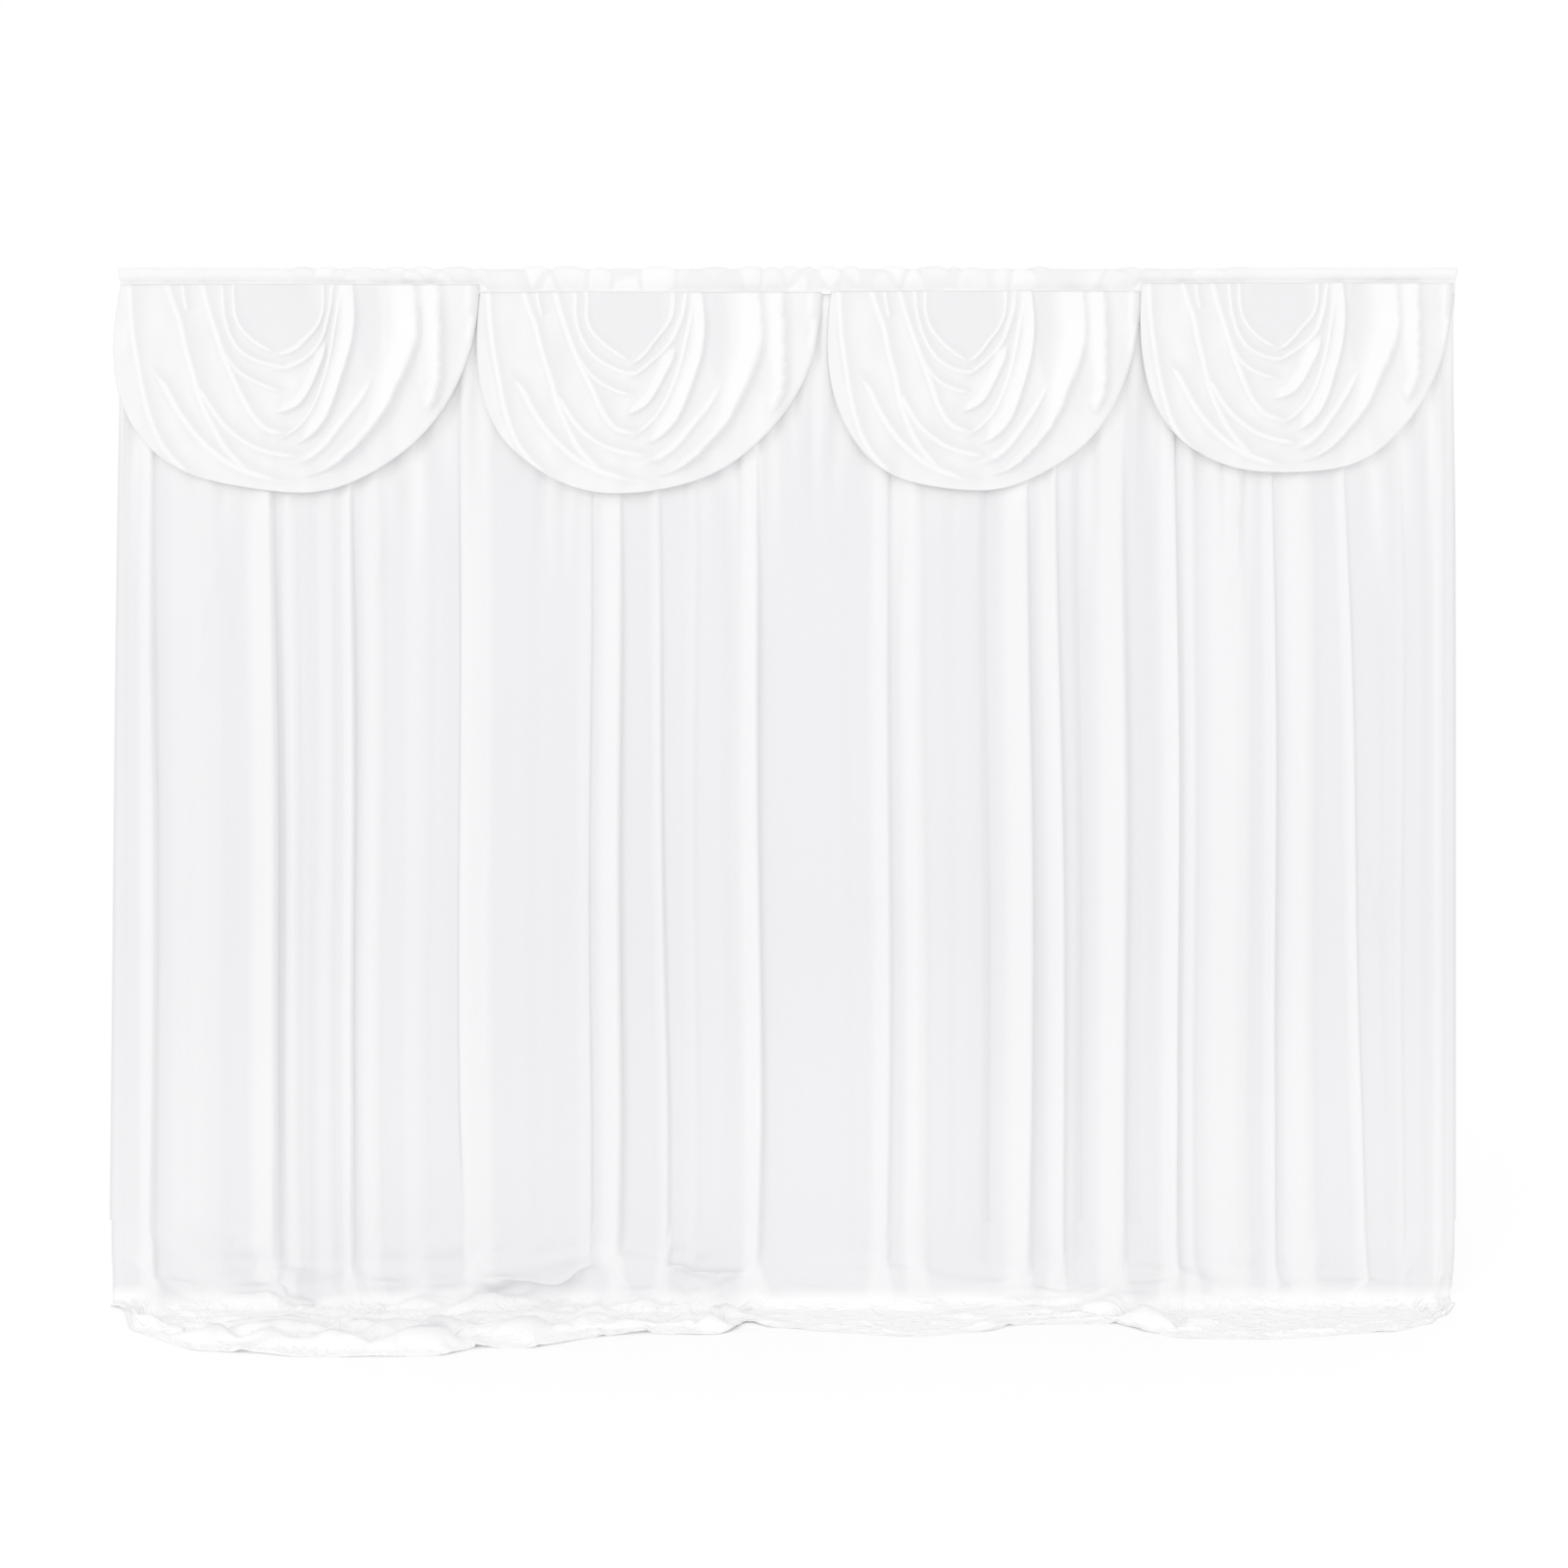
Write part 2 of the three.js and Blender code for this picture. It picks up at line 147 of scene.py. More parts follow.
# The plain cloth between the folds sways gently: wavelength, phase and height of each wave
SWAY = ((1.95, 0.6, 0.009), (0.92, 2.0, 0.006))
WANDER = (0.004, 1.9, 0.37)  # sideways wander of a fold: width, length down the cloth, slant
SWELL = (0.10, 2.3, 1.7)  # how a fold's depth swells and ebbs: share, length, slant
STRAIGHT_EDGE = 1.88  # the side hems, past this place, don't wander
RIPPLE_START = (-0.10, 0.15)  # where a ripple fades in around its top, and out around its bottom
RIPPLE_END = (-0.25, 0.20)
SEAM_GAP = 0.0003  # between the heading's strip and the curtain's top edge
GATHER_RELEASE = 0.56  # drop below the heading in which the gathers open
GATHER_PITCH = 0.074  # usual width of a gather, and how deep it is drawn back
GATHER_DEPTH = 0.011
GATHER_START = 0.07  # drop below the heading in which the gathers reach their depth
GATHER_FADE = (0.34, 0.90)  # drops between which they open out
GATHER_CROWDING = (0.35, 9.0)  # how unevenly they are spaced, and how their ends differ in drop
GATHER_UNEVEN = ((0.16, 13.0, 0.0), (0.10, 31.0, 1.0))
GROWTH_START = -0.20  # drops between which the folds grow to their full depth
GROWTH_END = 1.40
SPREAD_LEFT = -0.030  # how far the left edge swings out on the way down
LEAN_FADE = (2.45, 2.85)  # drops between which the folds stop hanging over
RISE_STEP = 0.0115  # column widths on a fold's slope and on plain cloth
FLAT_STEP = 0.0165
RISE_STEPS = 4  # fewest columns on a fold's rise and on its fall
FALL_STEPS = 5
OVERHANG_CURL = 0.4  # how far a fold that hangs over curls under its crest
# Shares of a fold's rise by which its cloth lies double, and of its fall over which and at which that
# ends.
# On the fall the whiteness is painted light that lifts the shade at the fold's foot
DOUBLE_RISE = 0.5
FALL_LIGHT_SPAN = 0.4
FALL_LIGHT_END = 0.8
STRAIGHT_SLOPE = 0.55  # how straight a fold's slope is, from 0, rounded, to 1
PIN_DROP = 2.80  # below this the cloth settles on the floor
HUNG_BANDS = ((0.70, 18), (2.30, 30), (PIN_DROP, 10))  # drop at the end of a band, rows in it
TRAIL_ROWS = 62

# The trailing end: how far it reaches forward, the height of the heap where it meets the floor,
# the height of the puff behind its front edge, and how much loose cloth is heaped up in it
Trail = namedtuple("Trail", "x reach heap puff loose")
TRAIL = [Trail(*row) for row in (
    (-1.990, 0.050, 0.030, 0.012, 0.000),
    (-1.945, 0.080, 0.040, 0.020, 0.007),
    (-1.810, 0.265, 0.055, 0.030, 0.065),
    (-1.575, 0.410, 0.055, 0.045, 0.111),
    (-1.450, 0.395, 0.060, 0.030, 0.117),
    (-1.300, 0.440, 0.055, 0.050, 0.117),
    (-1.160, 0.445, 0.060, 0.038, 0.117),
    (-0.935, 0.460, 0.060, 0.032, 0.117),
    (-0.845, 0.385, 0.065, 0.025, 0.111),
    (-0.690, 0.385, 0.070, 0.045, 0.111),
    (-0.570, 0.280, 0.085, 0.040, 0.098),
    (-0.435, 0.265, 0.090, 0.050, 0.098),
    (-0.300, 0.275, 0.070, 0.035, 0.098),
    (-0.190, 0.320, 0.060, 0.040, 0.091),
    (-0.095, 0.205, 0.065, 0.018, 0.046),
    (-0.025, 0.250, 0.085, 0.025, 0.030),
    (0.135, 0.280, 0.080, 0.020, 0.036),
    (0.360, 0.325, 0.070, 0.014, 0.030),
    (0.540, 0.290, 0.055, 0.014, 0.036),
    (0.715, 0.205, 0.065, 0.025, 0.058),
    (0.940, 0.190, 0.085, 0.030, 0.078),
    (1.000, 0.265, 0.075, 0.025, 0.065),
    (1.105, 0.310, 0.065, 0.020, 0.050),
    (1.345, 0.320, 0.050, 0.014, 0.034),
    (1.685, 0.275, 0.040, 0.016, 0.034),
    (1.820, 0.210, 0.040, 0.016, 0.026),
    (1.885, 0.150, 0.040, 0.014, 0.016),
    (1.990, 0.050, 0.030, 0.012, 0.000),
)]

# Section of the trailing end from the hung cloth to the hem: share of the reach, shares of the heap
# and puff heights
TRAIL_SECTION = (
    (0.00, 1.90, 0.00),
    (0.04, 1.50, 0.00),
    (0.10, 1.12, 0.00),
    (0.20, 0.72, 0.05),
    (0.34, 0.34, 0.25),
    (0.50, 0.10, 0.55),
    (0.72, 0.00, 1.00),
    (0.92, 0.00, 0.85),
    (1.00, 0.00, 0.10),
)
TURN_SHARE = 0.24  # share of the reach in which the upright cloth turns to lie down
OPEN_SHARE = 0.35  # share of the reach in which the folds open sideways
SPREAD_COLUMNS = 31  # columns over which the gaps are evened out
ROLL_WIDTH = 0.260  # size of the rolls of loose cloth, along the wall and away from it
ROLL_LENGTH = 0.070
ROLL_HEIGHT = 0.9
SMALL_ROLLS = 0.40  # height of the smaller rolls among them, and how many fit into a broad one
SMALL_RATIO = 2.3
ROLL_SEEDS = (4.0, 9.0)
LOOSE_START = (0.02, 0.15)  # shares of the reach between which the rolls start and end
LOOSE_END = (0.90, 1.0)
LYING_GAP = 0.004  # height over the floor from which the lying cloth settles
SECTION_SAMPLES = 120
WALL_SAMPLES = 24
SOFTEN_ROUNDS = 2  # rounds of evening out the settled cloth, which rounds its creases
SOFTEN_SHARE = 0.5
FLOOR_GAP = 0.0008  # height of the lowest cloth's middle over the floor
GROUND_SHARES = (0.05, 0.4)  # shares of the trailing cloth between which it is let down to the floor
SETTLE_FRAMES = 28
PLANE_SIZE = 12.0  # size of the floor and the wall that the cloth settles against, and the wall's place
WALL_BACK = 0.05
WALL_MIDDLE = FLOOR + 0.5
PINNED_ROWS = 3  # rows at the top of the trailing cloth that stay as they hang
DOUBLE_AND_LIGHT_LAYERS = 0.26  # share of the heap's whiteness that a double layer has, painted light on a fold's fall included
GATHER_LAYERS_AND_LIGHT = 0.34  # share of it that the dense gathers at the top have, partly painted light that lifts the shade in the drawn-back gathers and under the swags
LOW_PAINTED_LIGHT = 0.16  # painted light: share of it that the cloth takes on towards the floor, lighter low down
LOW_BAND = (1.80, 3.00)
HEAP_LIGHT_BAND = (-0.060, -0.004)  # drops, from the floor, between which the heap begins and is painted fully white, painted light on the cloth lying on the floor
BEHIND_AND_RIM_LIGHT = 0.42  # share of it straight behind the swags, for their second layer, and painted light along their rims that lifts their shade on the curtain, and how softly that ends past the rims
RIM_LIGHT_REACH = 0.034
RIM_STEPS = 61  # points along a swag's rim

# Swags, left to right: ends of the sewn edge, ends of the cup, drop of the sewn edge, depth, and the
# pull that bulges the left side
Swag = namedtuple("Swag", "left right cup_left cup_right sewn_drop depth bulge")
SWAGS = [Swag(*row) for row in (
    (-1.956, -0.900, -1.624, -1.364, 0.052, 0.613, 0.100),
    (-0.896, 0.112, -0.598, -0.355, 0.075, 0.588, 0.060),
    (0.140, 1.052, 0.448, 0.688, 0.072, 0.588, 0.060),
    (1.056, 1.976, 1.387, 1.636, 0.048, 0.566, 0.035),
)]

# Folds of a swag: height, half widths towards the left and the right in metres, the points of the crest
# line, each as a share across the swag and a share of its depth, the share of the widths left at the lower
# end, and whether the whole left slope lies double and turns white, partly as a painted highlight
SwagFold = namedtuple("SwagFold", "height left right line end band", defaults=(1.0, False))
SWAG_FOLDS = [SwagFold(*row) for row in (
    (0.013, 0.012, 0.024, (
        (0.022, 0.00), (0.029, 0.20), (0.045, 0.38), (0.067, 0.57), (0.096, 0.72), (0.137, 0.83),
        (0.191, 0.91), (0.250, 0.96))),
    (0.014, 0.016, 0.024, (
        (0.064, 0.33), (0.092, 0.42), (0.121, 0.49), (0.159, 0.61), (0.210, 0.73), (0.274, 0.83),
        (0.332, 0.89), (0.383, 0.92), (0.460, 0.95), (0.560, 0.955))),
    (0.014, 0.014, 0.026, (
        (0.128, 0.00), (0.147, 0.10), (0.163, 0.17), (0.182, 0.31), (0.201, 0.42), (0.220, 0.55),
        (0.249, 0.67), (0.281, 0.77), (0.325, 0.855), (0.376, 0.905), (0.440, 0.93))),
    (0.012, 0.012, 0.020, (
        (0.198, 0.40), (0.220, 0.50), (0.249, 0.59), (0.293, 0.69), (0.357, 0.77), (0.421, 0.81),
        (0.490, 0.825), (0.560, 0.81))),
    (0.015, 0.014, 0.026, (
        (0.221, 0.00), (0.239, 0.11), (0.261, 0.22), (0.287, 0.34), (0.319, 0.47), (0.348, 0.58),
        (0.379, 0.66), (0.415, 0.70), (0.470, 0.71), (0.525, 0.69))),
    (0.010, 0.009, 0.012, (
        (0.170, 0.00), (0.177, 0.08), (0.188, 0.14))),
    (0.011, 0.010, 0.014, (
        (0.275, 0.00), (0.279, 0.10), (0.287, 0.17), (0.303, 0.245), (0.332, 0.32), (0.370, 0.365),
        (0.421, 0.395), (0.475, 0.395), (0.530, 0.375))),
    (0.010, 0.009, 0.014, (
        (0.261, 0.21), (0.284, 0.31), (0.312, 0.39), (0.341, 0.44), (0.383, 0.48), (0.430, 0.505),
        (0.490, 0.515))),
    (0.010, 0.009, 0.014, (
        (0.311, 0.00), (0.309, 0.075), (0.312, 0.13), (0.323, 0.185), (0.348, 0.24), (0.383, 0.29),
        (0.430, 0.335), (0.480, 0.36))),
    (0.012, 0.014, 0.009, (
        (0.565, 0.00), (0.566, 0.075), (0.561, 0.14), (0.542, 0.20), (0.510, 0.255), (0.482, 0.305),
        (0.445, 0.345), (0.400, 0.37))),
    (0.012, 0.014, 0.009, (
        (0.597, 0.00), (0.590, 0.10), (0.579, 0.175), (0.564, 0.25), (0.539, 0.31), (0.504, 0.355),
        (0.445, 0.41), (0.390, 0.43))),
    (0.016, 0.028, 0.009, (
        (0.577, 0.23), (0.568, 0.32), (0.548, 0.405), (0.523, 0.49), (0.494, 0.56), (0.450, 0.60),
        (0.405, 0.615)), 1.0, True),
    (0.011, 0.012, 0.010, (
        (0.622, 0.00), (0.609, 0.14), (0.599, 0.24), (0.588, 0.34), (0.571, 0.45), (0.545, 0.56),
        (0.510, 0.65), (0.450, 0.73), (0.390, 0.765))),
    (0.021, 0.034, 0.010, (
        (0.642, 0.00), (0.649, 0.12), (0.647, 0.23), (0.635, 0.34), (0.612, 0.47), (0.587, 0.59),
        (0.561, 0.67), (0.515, 0.745), (0.455, 0.785)), 1.0, True),
    (0.014, 0.024, 0.014, (
        (0.721, 0.38), (0.695, 0.48), (0.657, 0.585), (0.606, 0.70), (0.568, 0.78), (0.520, 0.84),
        (0.460, 0.875))),
    (0.030, 0.080, 0.014, (
        (0.812, 0.00), (0.820, 0.14), (0.820, 0.25), (0.794, 0.38), (0.768, 0.48), (0.740, 0.59),
        (0.708, 0.68), (0.670, 0.755), (0.612, 0.85), (0.550, 0.91), (0.460, 0.945)), 0.3, True),
    (0.028, 0.050, 0.012, (
        (0.880, 0.00), (0.885, 0.17), (0.886, 0.34), (0.885, 0.47), (0.867, 0.56),
        (0.840, 0.65)), 0.7, True),
    (0.008, 0.024, 0.012, (
        (0.971, 0.00), (0.976, 0.20), (0.974, 0.36))),
)]

# Hollows of a swag painted darker, painted shade, in shares of its width and depth: middle and half sizes
ShadedHollow = namedtuple("ShadedHollow", "across down width height")
SHADED_HOLLOWS = [ShadedHollow(*row) for row in (
    (0.440, 0.12, 0.120, 0.22),
    (0.695, 0.20, 0.034, 0.24),
)]
SWAG_LAYERS = 0.45  # share of the crests' whiteness that the rest of a swag has
MOTTLE_LAYERS = 0.35  # how much that share varies over the swag
MOTTLE_SIZE = (0.045, 0.110)
SHADE_WIDTH = 0.030  # reach of the painted shade to the right of a crest, on the side away from the light
CREST_POWER = 1.5  # sharpness of the crests, from 1, sharp, to 2, round
POINTED_END = 0.3  # share of a fold's width left where it dies away
LINE_STEPS = 4  # straight steps between two points of a crest line
END_TAPER = 0.22  # share of a crest line over which a fold dies away
WIDTH_TAPER = (0.2, 0.7)  # shares of it between which a fold's width changes
# Shares of a fold's height between which it turns white, for doubled cloth and as a painted highlight:
# left of a band, left of other folds, and right
BAND_WHITE = (0.15, 0.65)
CREST_WHITE = (0.40, 0.90)
RIGHT_WHITE = (0.75, 0.97)
HOLLOW_SHADE_EDGE = (0.7, 1.2)  # shares of a hollow's size between which its painted shade ends
FOLD_SHIFT = (0.006, 5.0, 7.0)  # how the folds stray from swag to swag: width, and rates across and down
CUP_SHARE = 0.27  # depth of the smooth cup, as a share of the swag
LEFT_STACK = 1.6  # how the fold ends crowd towards the cup along the sewn edge
RIGHT_STACK = 5.0
RIGHT_SPREAD = 0.3  # share of the right side over which its fold ends are spread evenly
CUP_HOLLOW = 0.75  # how far forward the cup hangs, as a share of the folds below it
MIDDLE_SHIFT = 0.25  # how far the lowest point moves from the cup's to the swag's middle
HEM_WAVES = ((0.010, 6.0, 1.0), (0.006, 13.0, 2.0))  # height, rate and turn of the hem's small waves
SWAG_LIFT = 0.045  # how far a swag stands off, and the depth over which it leaves the heading
SWAG_LIFT_DEPTH = 0.170
RIM_START = 0.7  # where the rim begins, as a share of the swag
RIM_LIFT = 0.75  # share of the lift at the rim, and at the rim's sides near the heading
RIM_TOP_LIFT = 0.12
RIM_DROPS = (0.05, 0.42)  # drops between which the sides come forward
RIDGE_START = 0.4  # share of a ridge at the sewn edge, and the depth over which it grows
RIDGE_GROWTH = 0.150
BILLOW = (0.004, 4.0, 0.1)  # soft billow of a swag: height, rate across and the depth over which it grows
# How far each side of a swag bulges, at its cup and at its hem
FULLNESS = {
    "left_down": (0.5, 0.72),
    "right_down": (0.5, 0.6),
    "left_level": (0.35, 0.72),
    "right_level": (0.35, 0.55),
}
SEWN_FACE = 0.0040  # how far in front of the heading's middle the swags are sewn
CAMERA_DISTANCE = 4.5  # the swags were measured in the photo from this far
CAMERA_DROP = -1.527
SWAG_SEED = 1.7  # makes each swag's small waves its own
SWAG_COLUMNS = 250
SWAG_ROWS = 138

# Heading along its length: drop of the seam under the pocket, and how strongly the pocket is gathered
Band = namedtuple("Band", "x seam gather")
HEADING = [Band(*row) for row in (
    (-1.958, 0.047, 0.20),
    (-1.560, 0.047, 0.25),
    (-1.440, 0.048, 0.70),
    (-0.898, 0.049, 0.90),
    (-0.868, 0.068, 1.00),
    (1.026, 0.066, 1.00),
    (1.052, 0.045, 0.90),
    (1.330, 0.044, 0.60),
    (1.440, 0.043, 0.15),
    (1.980, 0.042, 0.12),
)]
POCKET_RADIUS = 0.0180
POCKET_CENTRE = -0.022  # height of the pocket's middle
STRIP_HALF = 0.0018  # half the distance between the strip's two layers
GATHER_HEIGHT = 0.0088  # height of the puffs
PUFF_WIDTH = 0.080  # usual size of a puff of the gathered pocket, along it and around it
PUFF_HEIGHT = 0.095
GATHER_LEAN = 0.030  # how far the puffs slant between the seam and the top, and how that varies
LEAN_RATE = 5.1
PUFF_EDGE = 0.45  # share of a puff over which it rises from the crease around it
PUFF_MIDDLE = 0.6  # puff at which the pocket keeps its radius
PUFF_WHITE = 0.35  # how much the puffs differ in whiteness
PUFF_SEED = 7.3
CREASE_SHADE_EDGE = 0.4  # share of the rise over which the crease around a puff is painted darker, painted shade
PLAIN_LAYERS = 0.6  # whiteness of the plain strip and pocket
SEAM_PULL = 0.6  # how closely the seam draws the puffs in
HEADING_COLUMNS = 720
HEADING_ROWS = 44
STRIP_ROWS = 6  # rows of the flat strip on either face
STITCH_PITCH = 0.0075
STITCH_SIZE = (0.0026, 0.0005, 0.0005)
STITCH_MARGIN = 0.02  # plain length left at both ends of a row of stitches
SEAM_STITCHES = 0.003  # drop of the stitches below the seam, and height of the lower row over the edge
EDGE_STITCHES = 0.006
STITCH_FACE = 0.0007  # how far the stitches lie in front of the strip's middle surface

# Stage: half the floor's width, how far it lies below the cloth, and places and sizes of the lights
FLOOR_HALF = 30.0
FLOOR_DROP = 0.0005
KEY_PLACE = (-17.0, -22.0, 4.0)
KEY_SIZE = 11.0
FILL_PLACE = (1.5, -9.0, -0.6)
FILL_SIZE = 5.0


def colour_property(name, description, default):
    """Colour that a user can change."""
    return bpy.props.FloatVectorProperty(
        name=name, description=description, default=default, min=0.0, max=1.0, size=3, subtype="COLOR")


class BackdropCloth(bpy.types.PropertyGroup):
    """Cloth of the backdrop"""

    thickness: bpy.props.FloatProperty(
        name="Thickness", description="Thickness of the cloth", default=0.0012,
        min=0.0002, max=0.003, subtype="DISTANCE", unit="LENGTH", precision=4)
    # Each pair of colours is mixed by the layers attribute, which holds real double layers and also
    # painted light and painted shade.
    curtain_colour: colour_property(
        "Curtain", "Colour of the hung cloth where it lies in many layers", (0.92, 0.92, 0.928))
    curtain_thin: colour_property(
        "Thin Curtain", "Colour of the hung cloth where one layer hangs", (0.603, 0.603, 0.622))
    swag_colour: colour_property(
        "Swags", "Colour of the swags along their crests", (0.745, 0.745, 0.755))
    swag_thin: colour_property(
        "Thin Swags", "Colour of the swags where one layer hangs", (0.620, 0.620, 0.636))
    heading_colour: colour_property(
        "Heading", "Colour of the heading where its gathers lie double", (0.785, 0.785, 0.795))
    heading_thin: colour_property(
        "Thin Heading", "Colour of the heading where one layer lies", (0.655, 0.655, 0.667))
    thread_colour: colour_property(
        "Thread", "Colour of the stitching", (0.64, 0.64, 0.66))


class BackdropStage(bpy.types.PropertyGroup):
    """Floor, light and camera"""

    camera_distance: bpy.props.FloatProperty(
        name="Camera Distance", description="From the camera to the curtain", default=CAMERA_DISTANCE,
        min=1.0, max=20.0, subtype="DISTANCE", unit="LENGTH")
    camera_height: bpy.props.FloatProperty(
        name="Camera Height", description="Height of the camera above the floor", default=1.523,
        min=0.1, max=4.0, subtype="DISTANCE", unit="LENGTH")
    lens: bpy.props.FloatProperty(
        name="Lens", description="Focal length of the camera", default=35.0, min=10.0, max=200.0)
    floor_colour: colour_property(
        "Floor", "Colour of the floor", (0.995, 0.995, 0.995))
    key_power: bpy.props.FloatProperty(
        name="Key Light", description="Power of the main light", default=1300.0, min=0.0,
        subtype="POWER", unit="POWER")
    fill_power: bpy.props.FloatProperty(
        name="Fill Light", description="Power of the fill light", default=130.0, min=0.0,
        subtype="POWER", unit="POWER")
    sky: bpy.props.FloatProperty(
        name="Room Light", description="Strength of the even room light", default=1.0,
        min=0.0, max=5.0)
    gamma: bpy.props.FloatProperty(
        name="Gamma", description="Lightens the shades, as a bright studio picture has them",
        default=1.8, min=0.5, max=3.0)


def smoothstep(low, high, value):
    """Rises smoothly from 0 at the low value to 1 at the high one."""
    share = np.clip((value - low) / (high - low), 0.0, 1.0)
    return share * share * (3.0 - 2.0 * share)


def lerp(low, high, share):
    """Value at a share of the way from low to high."""
    return low + (high - low) * share


def table_values(table, name, places):
    """One column of a table at the given places, eased between its rows."""
    keys = np.array([row.x for row in table])
    values = np.array([getattr(row, name) for row in table])
    inside = np.clip(places, keys[0], keys[-1])
    after = np.clip(np.searchsorted(keys, inside), 1, len(keys) - 1)
    share = smoothstep(0.0, 1.0, (inside - keys[after - 1]) / (keys[after] - keys[after - 1]))
    return lerp(values[after - 1], values[after], share)


def grid_mesh(name, points, thickness, lengths, layers=None):
    """Cloth from an array of points (rows, columns, 3), with UVs in metres of cloth.

    Layers tells, from 0 to 1, where more than one layer of the thin cloth lies; it also carries painted
    light and painted shade.
    """
    rows, columns = points.shape[:2]
    bm = bmesh.new()
    bm.loops.layers.uv.new("UVMap")
    bmesh.ops.create_grid(bm, x_segments=columns - 1, y_segments=rows - 1, size=1.0, calc_uvs=True)
    mesh = bpy.data.meshes.new(name)
    bm.to_mesh(mesh)
    bm.free()
    if len(mesh.vertices) != rows * columns:
        raise RuntimeError(f"{name}: the grid has {len(mesh.vertices)} points, not {rows * columns}")
    mesh.vertices.foreach_set("co", points[::-1].reshape(-1))
    uv = np.zeros(len(mesh.loops) * 2)
    layer = mesh.uv_layers.active
    layer.data.foreach_get("uv", uv)
    uv = uv.reshape(-1, 2) * np.array(lengths)
    layer.data.foreach_set("uv", uv.reshape(-1))
    if layers is not None:
        mark = mesh.attributes.new("layers_and_painted_light", "FLOAT", "POINT")
        mark.data.foreach_set("value", layers[::-1].reshape(-1))
    mesh.shade_smooth()
    mesh.update()
    piece = bpy.data.objects.new(name, mesh)
    bpy.context.scene.collection.objects.link(piece)
    if thickness:
        sheet = piece.modifiers.new("Cloth thickness", "SOLIDIFY")
        sheet.thickness = thickness
        sheet.offset = 0.0
    return piece


def fold_columns():
    """Columns of the curtain: place, drift, depth, tuck and how far the cloth lies double or, on a fall,
    is painted light.
    """
    columns = [(LEFT_EDGE, SPREAD_LEFT, 0.0, 0.0, 0.0)]

    def add_flat(place, drift):
        start, start_drift = columns[-1][:2]
        parts = max(1, math.ceil((place - start) / FLAT_STEP))
        for part in range(1, parts + 1):
            share = part / parts
            eased = lerp(start_drift, drift, share)
            columns.append((lerp(start, place, share), eased, 0.0, 0.0, 0.0))

    for fold in FOLDS:
        add_flat(fold.left, fold.drift)
        rises = max(RISE_STEPS, math.ceil((fold.crest - fold.left) / RISE_STEP))
        falls = max(FALL_STEPS, math.ceil((fold.right - fold.crest) / RISE_STEP))
        for part in range(1, rises + 1):
            share = part / rises
            rise = lerp(smoothstep(0.0, 1.0, share), share, STRAIGHT_SLOPE)
            lean = share ** 2 if fold.tuck > 0.0 else math.sin(math.pi * share)
            tuck = fold.tuck * lean
            double = smoothstep(0.0, DOUBLE_RISE, share) * fold.double
            place = lerp(fold.left, fold.crest, share)
            columns.append((place, fold.drift, fold.depth * rise, tuck, double))
        for part in range(1, falls + 1):
            share = part / falls
            fall = 1.0 - smoothstep(0.0, 1.0, share)
            tuck = max(fold.tuck, 0.0) * (1.0 - share + OVERHANG_CURL * math.sin(math.pi * share))
            # Down the fall the whiteness is painted light that lifts the shade at the fold's foot.
            shown = 1.0 if fold.tuck < 0.0 else FALL_LIGHT_END
            double = (1.0 - smoothstep(shown - FALL_LIGHT_SPAN, shown, share)) * fold.double
            place = lerp(fold.crest, fold.right, share)
            columns.append((place, fold.drift, fold.depth * fall, tuck, double))
    add_flat(RIGHT_EDGE, 0.0)
    return np.array(columns).T


def gather_share(place, drop):
    """How far the cloth is drawn back, from 0 to 1, in the uneven gathers under the heading."""
    share, rate = GATHER_CROWDING
    crowded = np.sin(math.pi * (place / GATHER_PITCH + share * np.sin(rate * place))) ** 2
    uneven = sum(height * np.sin(rate * place + phase) for height, rate, phase in GATHER_UNEVEN)
    started = smoothstep(HEADING_DROP, HEADING_DROP + GATHER_START, drop)
    return crowded * started * (1.0 - smoothstep(*GATHER_FADE, drop + uneven))


def hung_cloth(columns, drops):
    """Points of the hung cloth for each drop and column."""
    place, drift, depth, tuck = columns[:4]
    drop = np.asarray(drops)[:, None]
    share = (drop - HEADING_DROP) / (DROP - HEADING_DROP)
    opening = smoothstep(HEADING_DROP, HEADING_DROP + GATHER_RELEASE, drop)
    growth = opening * smoothstep(GROWTH_START, GROWTH_END, drop)
    width, length, slant = WANDER
    wander = width * np.sin(2 * math.pi * (drop / length + place * slant)) * opening
    lean = tuck * growth * (1.0 - smoothstep(*LEAN_FADE, drop))
    x = place + drift * share + lean + wander * (np.abs(place) < STRAIGHT_EDGE)
    sway = sum(height * np.sin(2 * math.pi * place / length + phase) for length, phase, height in SWAY)
    height, length, slant = SWELL
    swell = 1.0 + height * np.sin(2 * math.pi * (drop / length + place * slant))
    forward = (depth * swell + sway) * growth
    for ripple in RIPPLES:
        middle = ripple.x + ripple.drift * share
        show = smoothstep(*(ripple.top + step for step in RIPPLE_START), drop)
        show = show * (1.0 - smoothstep(*(ripple.bottom + step for step in RIPPLE_END), drop))
        away = (place + drift * share - middle) / ripple.width
        forward = forward + ripple.height * show * np.exp(-away ** 2)
    for crease in CREASES:
        along = (drop - crease.drop0) / (crease.drop1 - crease.drop0)
        middle = lerp(crease.x0, crease.x1, along)
        show = np.sin(math.pi * np.clip(along, 0.0, 1.0))
        away = (place - middle) / crease.width
        forward = forward + crease.height * show * np.exp(-away ** 2)
    forward = forward - GATHER_DEPTH * gather_share(place, drop)
    x, y, z = np.broadcast_arrays(x, -forward, -drop)
    return np.stack((x, y, z), axis=-1)


